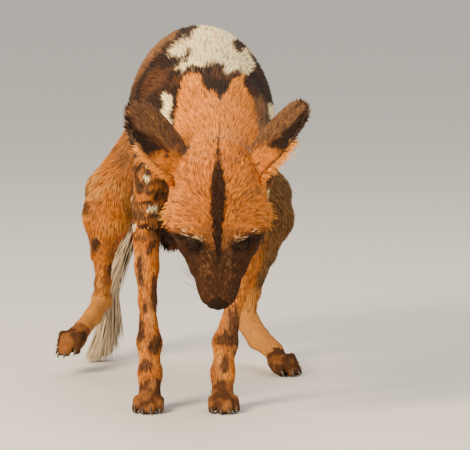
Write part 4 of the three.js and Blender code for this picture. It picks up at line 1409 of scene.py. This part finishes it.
def singleRoots(kind, places, lie, tone):
    count = len(places)
    at = nearestSkin(places)
    size = singleHairs[kind]
    shade = 1 + 0.25 * hairDraw.standard_normal((count, 1)).clip(-2, 2)
    return {
        "points": skinPoints[at] - skinNormals[at] * 0.4,
        "normal": skinNormals[at],
        "lie": unit(lie - skinNormals[at] * (lie * skinNormals[at]).sum(1, keepdims=True)),
        "length": size["length"] * (0.7 + 0.6 * hairDraw.random(count)),
        "width": np.full(count, size["width"]),
        "angle": np.radians(20 + 25 * hairDraw.random(count)),
        "colour": np.clip(tones[tone] * shade, 0.004, 0.95),
        "place": unwrap(skinPoints[at], onHead(0, 0, 0), onHead(266, 0, 0), brow),
    }


singles = []
for s in sides.values():
    root, along, opening, across = earAxes(s)
    corners, gaze, over = eyeAxes(s)
    count = singleHairs["fringe"]["count"] // 2
    share = hairDraw.random(count) ** 1.3 * 0.66 - 0.1
    half = earSize["half"] * earAt(share)[:, 0]
    aside = half * (0.86 + 0.12 * hairDraw.random(count))
    margin = root + along * (share * earSize["length"])[:, None] - across * aside[:, None]
    lie = along * 0.25 - across * 1.0 - opening * 0.15 + 0.22 * hairDraw.standard_normal((count, 3))
    singles.append(singleRoots("fringe", margin, lie, "paleTan"))
    count = singleHairs["whisker"]["count"] // 2
    t, n = mix(20, 56, hairDraw.random(count)), mix(-16, 8, hairDraw.random(count))
    places = np.array([onHead(a, s * 33, b) for a, b in zip(t, n)])
    lie = vec(s * 0.9, 0, 0) + rise * 0.5 - brow * 0.1 + 0.15 * hairDraw.standard_normal((count, 3))
    singles.append(singleRoots("whisker", places, lie, "black"))
    count = singleHairs["lash"]["count"] // 2
    spread = np.linspace(-9, 9, count)[:, None]
    places = eyeAt(s) + corners * spread + over * 3.2 + gaze * (eyeRadius + 2)
    singles.append(singleRoots("lash", places, gaze - over * 0.3 + corners * spread * 0.03, "black"))
    count = singleHairs["bristle"]["count"] // 2
    t = mix(124, 176, hairDraw.random(count))
    places = np.array([onHead(a, s * 82, b) for a, b in zip(t, mix(-25, 8, hairDraw.random(count)))])
    lie = vec(s * 0.8, 0, 0) - rise * 0.45 - brow * 0.5 + 0.2 * hairDraw.standard_normal((count, 3))
    singles.append(singleRoots("bristle", places, lie, "paleTan"))
roots = {key: np.concatenate([one[key] for one in singles]) for key in singles[0]}
growTufts("single_hairs", roots, hair, 61)

# The tail's brush
brushSize = {"tufts": 5200, "length": 84.0, "width": 2.6}
draw = np.random.default_rng(41)
count = int(brushSize["tufts"] * coatShare)
share = mix(brushStart, 0.93, draw.random(count) ** 0.9)
centre = alongLine(tailLine, share)
ahead = unit(alongLine(tailLine, np.minimum(share + 0.02, 1)) - alongLine(tailLine, share - 0.02))
u = unit(vec(1, 0, 0) - ahead * ahead[:, :1])
w = np.cross(ahead, u)
turn = draw.random(count) * 2 * math.pi
outward = u * np.cos(turn)[:, None] + w * np.sin(turn)[:, None]
radius = tailAt(share)[:, 0] - 2
fullness = 0.55 + 0.45 * np.sin(math.pi * np.clip((share - brushStart) / (1.05 - brushStart), 0, 1))
brushLength = brushSize["length"] * fullness * (0.75 + 0.4 * draw.random(count))
rootPoints = centre + outward * (radius * draw.random(count) ** 0.4)[:, None]
steep = np.radians(mix(3, 15, draw.random(count)))
# no hair goes under the floor
fall = -(ahead[:, 2] * np.cos(steep) + outward[:, 2] * np.sin(steep))
room = (rootPoints[:, 2] - 1.0) / np.maximum(fall, 0.05)
brushLength = np.minimum(brushLength, room * 0.86)
good = brushLength > 8
brushShade = 0.62 + 0.16 * draw.standard_normal((count, 1)).clip(-2, 2)
brushColour = np.clip(mix(tones["cream"], vec(0.6, 0.52, 0.42), 0.5) * brushShade, 0.02, 0.9)
black = share + 0.03 * draw.standard_normal(count) < brushStart + 0.06
brushColour[black] = tones["black"]
roots = {
    "points": rootPoints[good],
    "normal": outward[good],
    "lie": ahead[good],
    "length": brushLength[good],
    "width": np.full(good.sum(), brushSize["width"]),
    "angle": steep[good],
    "colour": brushColour[good],
    "place": np.column_stack([onUnwrap(turn / (2 * math.pi)), onUnwrap((share - brushStart) / 0.5)])[good],
}
brush = growTufts("brush_hair", roots, hairMaterial("brush_strands", 0.7, 1.1), 77)
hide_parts("tail_brush")


# Eyes
def eyeBall(word):
    s = sides[word]
    corners, gaze, over = eyeAxes(s)
    points, faces = [], []
    rings, spokes = 24, 40
    for i in range(1, rings):
        polar = math.pi * i / rings
        for j in range(spokes):
            turn = 2 * math.pi * j / spokes
            ring = corners * math.cos(turn) + over * math.sin(turn)
            points.append(gaze * math.cos(polar) + ring * math.sin(polar))
    points = np.array(points + [gaze, -gaze])
    for i in range(rings - 2):
        for j in range(spokes):
            a, b = i * spokes + j, i * spokes + (j + 1) % spokes
            faces.append((a, a + spokes, b + spokes, b))
    front, back = len(points) - 2, len(points) - 1
    for j in range(spokes):
        faces.append((front, j, (j + 1) % spokes))
        base = (rings - 2) * spokes
        faces.append((back, base + (j + 1) % spokes, base + j))
    depth = (points @ gaze) * 0.5 + 0.5
    bulge = 0.6 * smooth(0.9, 1.0, depth)
    places = eyeAt(s) + points * (eyeRadius - 0.1 + bulge[:, None])
    piece = newMesh("eyeball_" + word, places, faces, eyeTone)
    addValues(piece.data, "gazeShare", "FLOAT", "POINT", "value", depth)
    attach(piece, "root")
    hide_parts("eye_" + word)


eyeTone = eyeMaterial()
for word in sides:
    eyeBall(word)

# Nose pad
noseFlesh = blend(
    6,
    bone(onHead(10, -8.5, 10), onHead(10, 8.5, 10), 11, 11),
    bone(onHead(20, 0, 13), onHead(12, 0, 12), 8, 10),
    bone(onHead(6, 0, 4), onHead(3, 0, -9), 9.5, 5),
)
nostrils = [bone(onHead(-2.5, s * 7.5, 11), onHead(9, s * 17.5, 11), 3.6, 2.4) for s in sides.values()]
groove = bone(onHead(-8, 0, 8), onHead(-5, 0, -10), 2.2, 1.6)
nose = carve(1.6, noseFlesh, *nostrils, groove)
noseStep = 0.9
axes = [np.arange(a, b, noseStep) for a, b in zip(noseTip - vec(26, 34, 22), noseTip + vec(26, 22, 38))]
values = nose(gridPoints(axes).reshape(-1, 3)).reshape([len(a) for a in axes])
points, quads = surfaceNet(axes, values)
points, _ = settleSkin(axes, values, points, quads, 2)
nosePad = newMesh("nose_pad", points, quads, noseMaterial())
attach(nosePad, "root")
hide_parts("nose")

# Claws
clawSize = {"length": 12.5, "width": 4.8, "height": 6.2}
clawPoints, clawFaces = [], []
for paw in paws.values():
    for claw in paw["claws"]:
        lie, across = claw["lie"], claw["across"]
        lift = np.cross(across, lie)
        base = len(clawPoints)
        rings, spokes = 7, 10
        for i in range(rings):
            t = i / rings
            centre = claw["root"] + lie * clawSize["length"] * (t - 0.25) - lift * 5.0 * t * t
            taper = math.sqrt(1 - t**1.6)
            for j in range(spokes):
                turn = 2 * math.pi * j / spokes
                clawPoints.append(centre + across * math.cos(turn) * clawSize["width"] / 2 * taper
                                  + lift * math.sin(turn) * clawSize["height"] / 2 * taper)
        clawPoints.append(claw["root"] + lie * clawSize["length"] * 0.74 - lift * 4.6)
        clawPoints.append(claw["root"] - lie * clawSize["length"] * 0.27)
        for i in range(rings - 1):
            for j in range(spokes):
                a, b = base + i * spokes + j, base + i * spokes + (j + 1) % spokes
                clawFaces.append((a, b, b + spokes, a + spokes))
        last = base + (rings - 1) * spokes
        for j in range(spokes):
            clawFaces.append((last + j, last + (j + 1) % spokes, base + rings * spokes))
            clawFaces.append((base + (j + 1) % spokes, base + j, base + rings * spokes + 1))
clawPoints = np.array(clawPoints)
clawPoints[:, 2] = np.maximum(clawPoints[:, 2], 0.3)
claws = newMesh("claws", clawPoints, clawFaces, hornMaterial())
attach(claws, "root")
print("eyes, nose and claws done")

# Camera, floor and light
camera = bpy.data.objects.new("camera", bpy.data.cameras.new("camera"))
bpy.context.scene.collection.objects.link(camera)
cameraSize = {"sensor": 36.0, "focalPixels": 5490, "picturePixels": 470}
camera.data.sensor_width = cameraSize["sensor"]
camera.data.lens = cameraSize["focalPixels"] / cameraSize["picturePixels"] * cameraSize["sensor"]
camera.data.clip_end = 60.0
camera.location = toRow(viewFrom)
camera.rotation_euler = (math.pi / 2 - viewPitch, 0, 0)
bpy.context.scene.camera = camera

floorHalf = 30e3
floorCorners = np.array([[-1, -1, 0], [1, -1, 0], [1, 1, 0], [-1, 1, 0]]) * floorHalf
floorTone = Shader("pale_floor").finish(**{"Base Color": (0.72, 0.70, 0.67, 1), "Roughness": 0.9})
floor = newMesh("floor", floorCorners, [(0, 1, 2, 3)], floorTone, False)


def softLight(name, place, aim, size, power, tone):
    data = bpy.data.lights.new(name, "AREA")
    data.size, data.energy, data.color = size, power, tone
    lamp = bpy.data.objects.new(name, data)
    bpy.context.scene.collection.objects.link(lamp)
    lamp.location = place
    lamp.rotation_euler = (Vector(aim) - Vector(place)).to_track_quat("-Z", "Y").to_euler()


softLight("key", (-1.9, -2.6, 2.1), (0, 0, 0.3), 1.2, 270, (1.0, 0.80, 0.54))
softLight("fill", (2.4, -2.4, 1.4), (0, 0, 0.3), 2.4, 26, (1.0, 0.95, 0.90))
softLight("top", (0.3, 1.3, 2.9), (0, 0.1, 0.4), 1.6, 52, (1.0, 0.88, 0.70))
world = bpy.data.worlds.new("studio")
world.use_nodes = True
world.node_tree.nodes["Background"].inputs[0].default_value = (1.0, 0.95, 0.88, 1)
world.node_tree.nodes["Background"].inputs[1].default_value = 0.74
bpy.context.scene.world = world

print("scene ready")
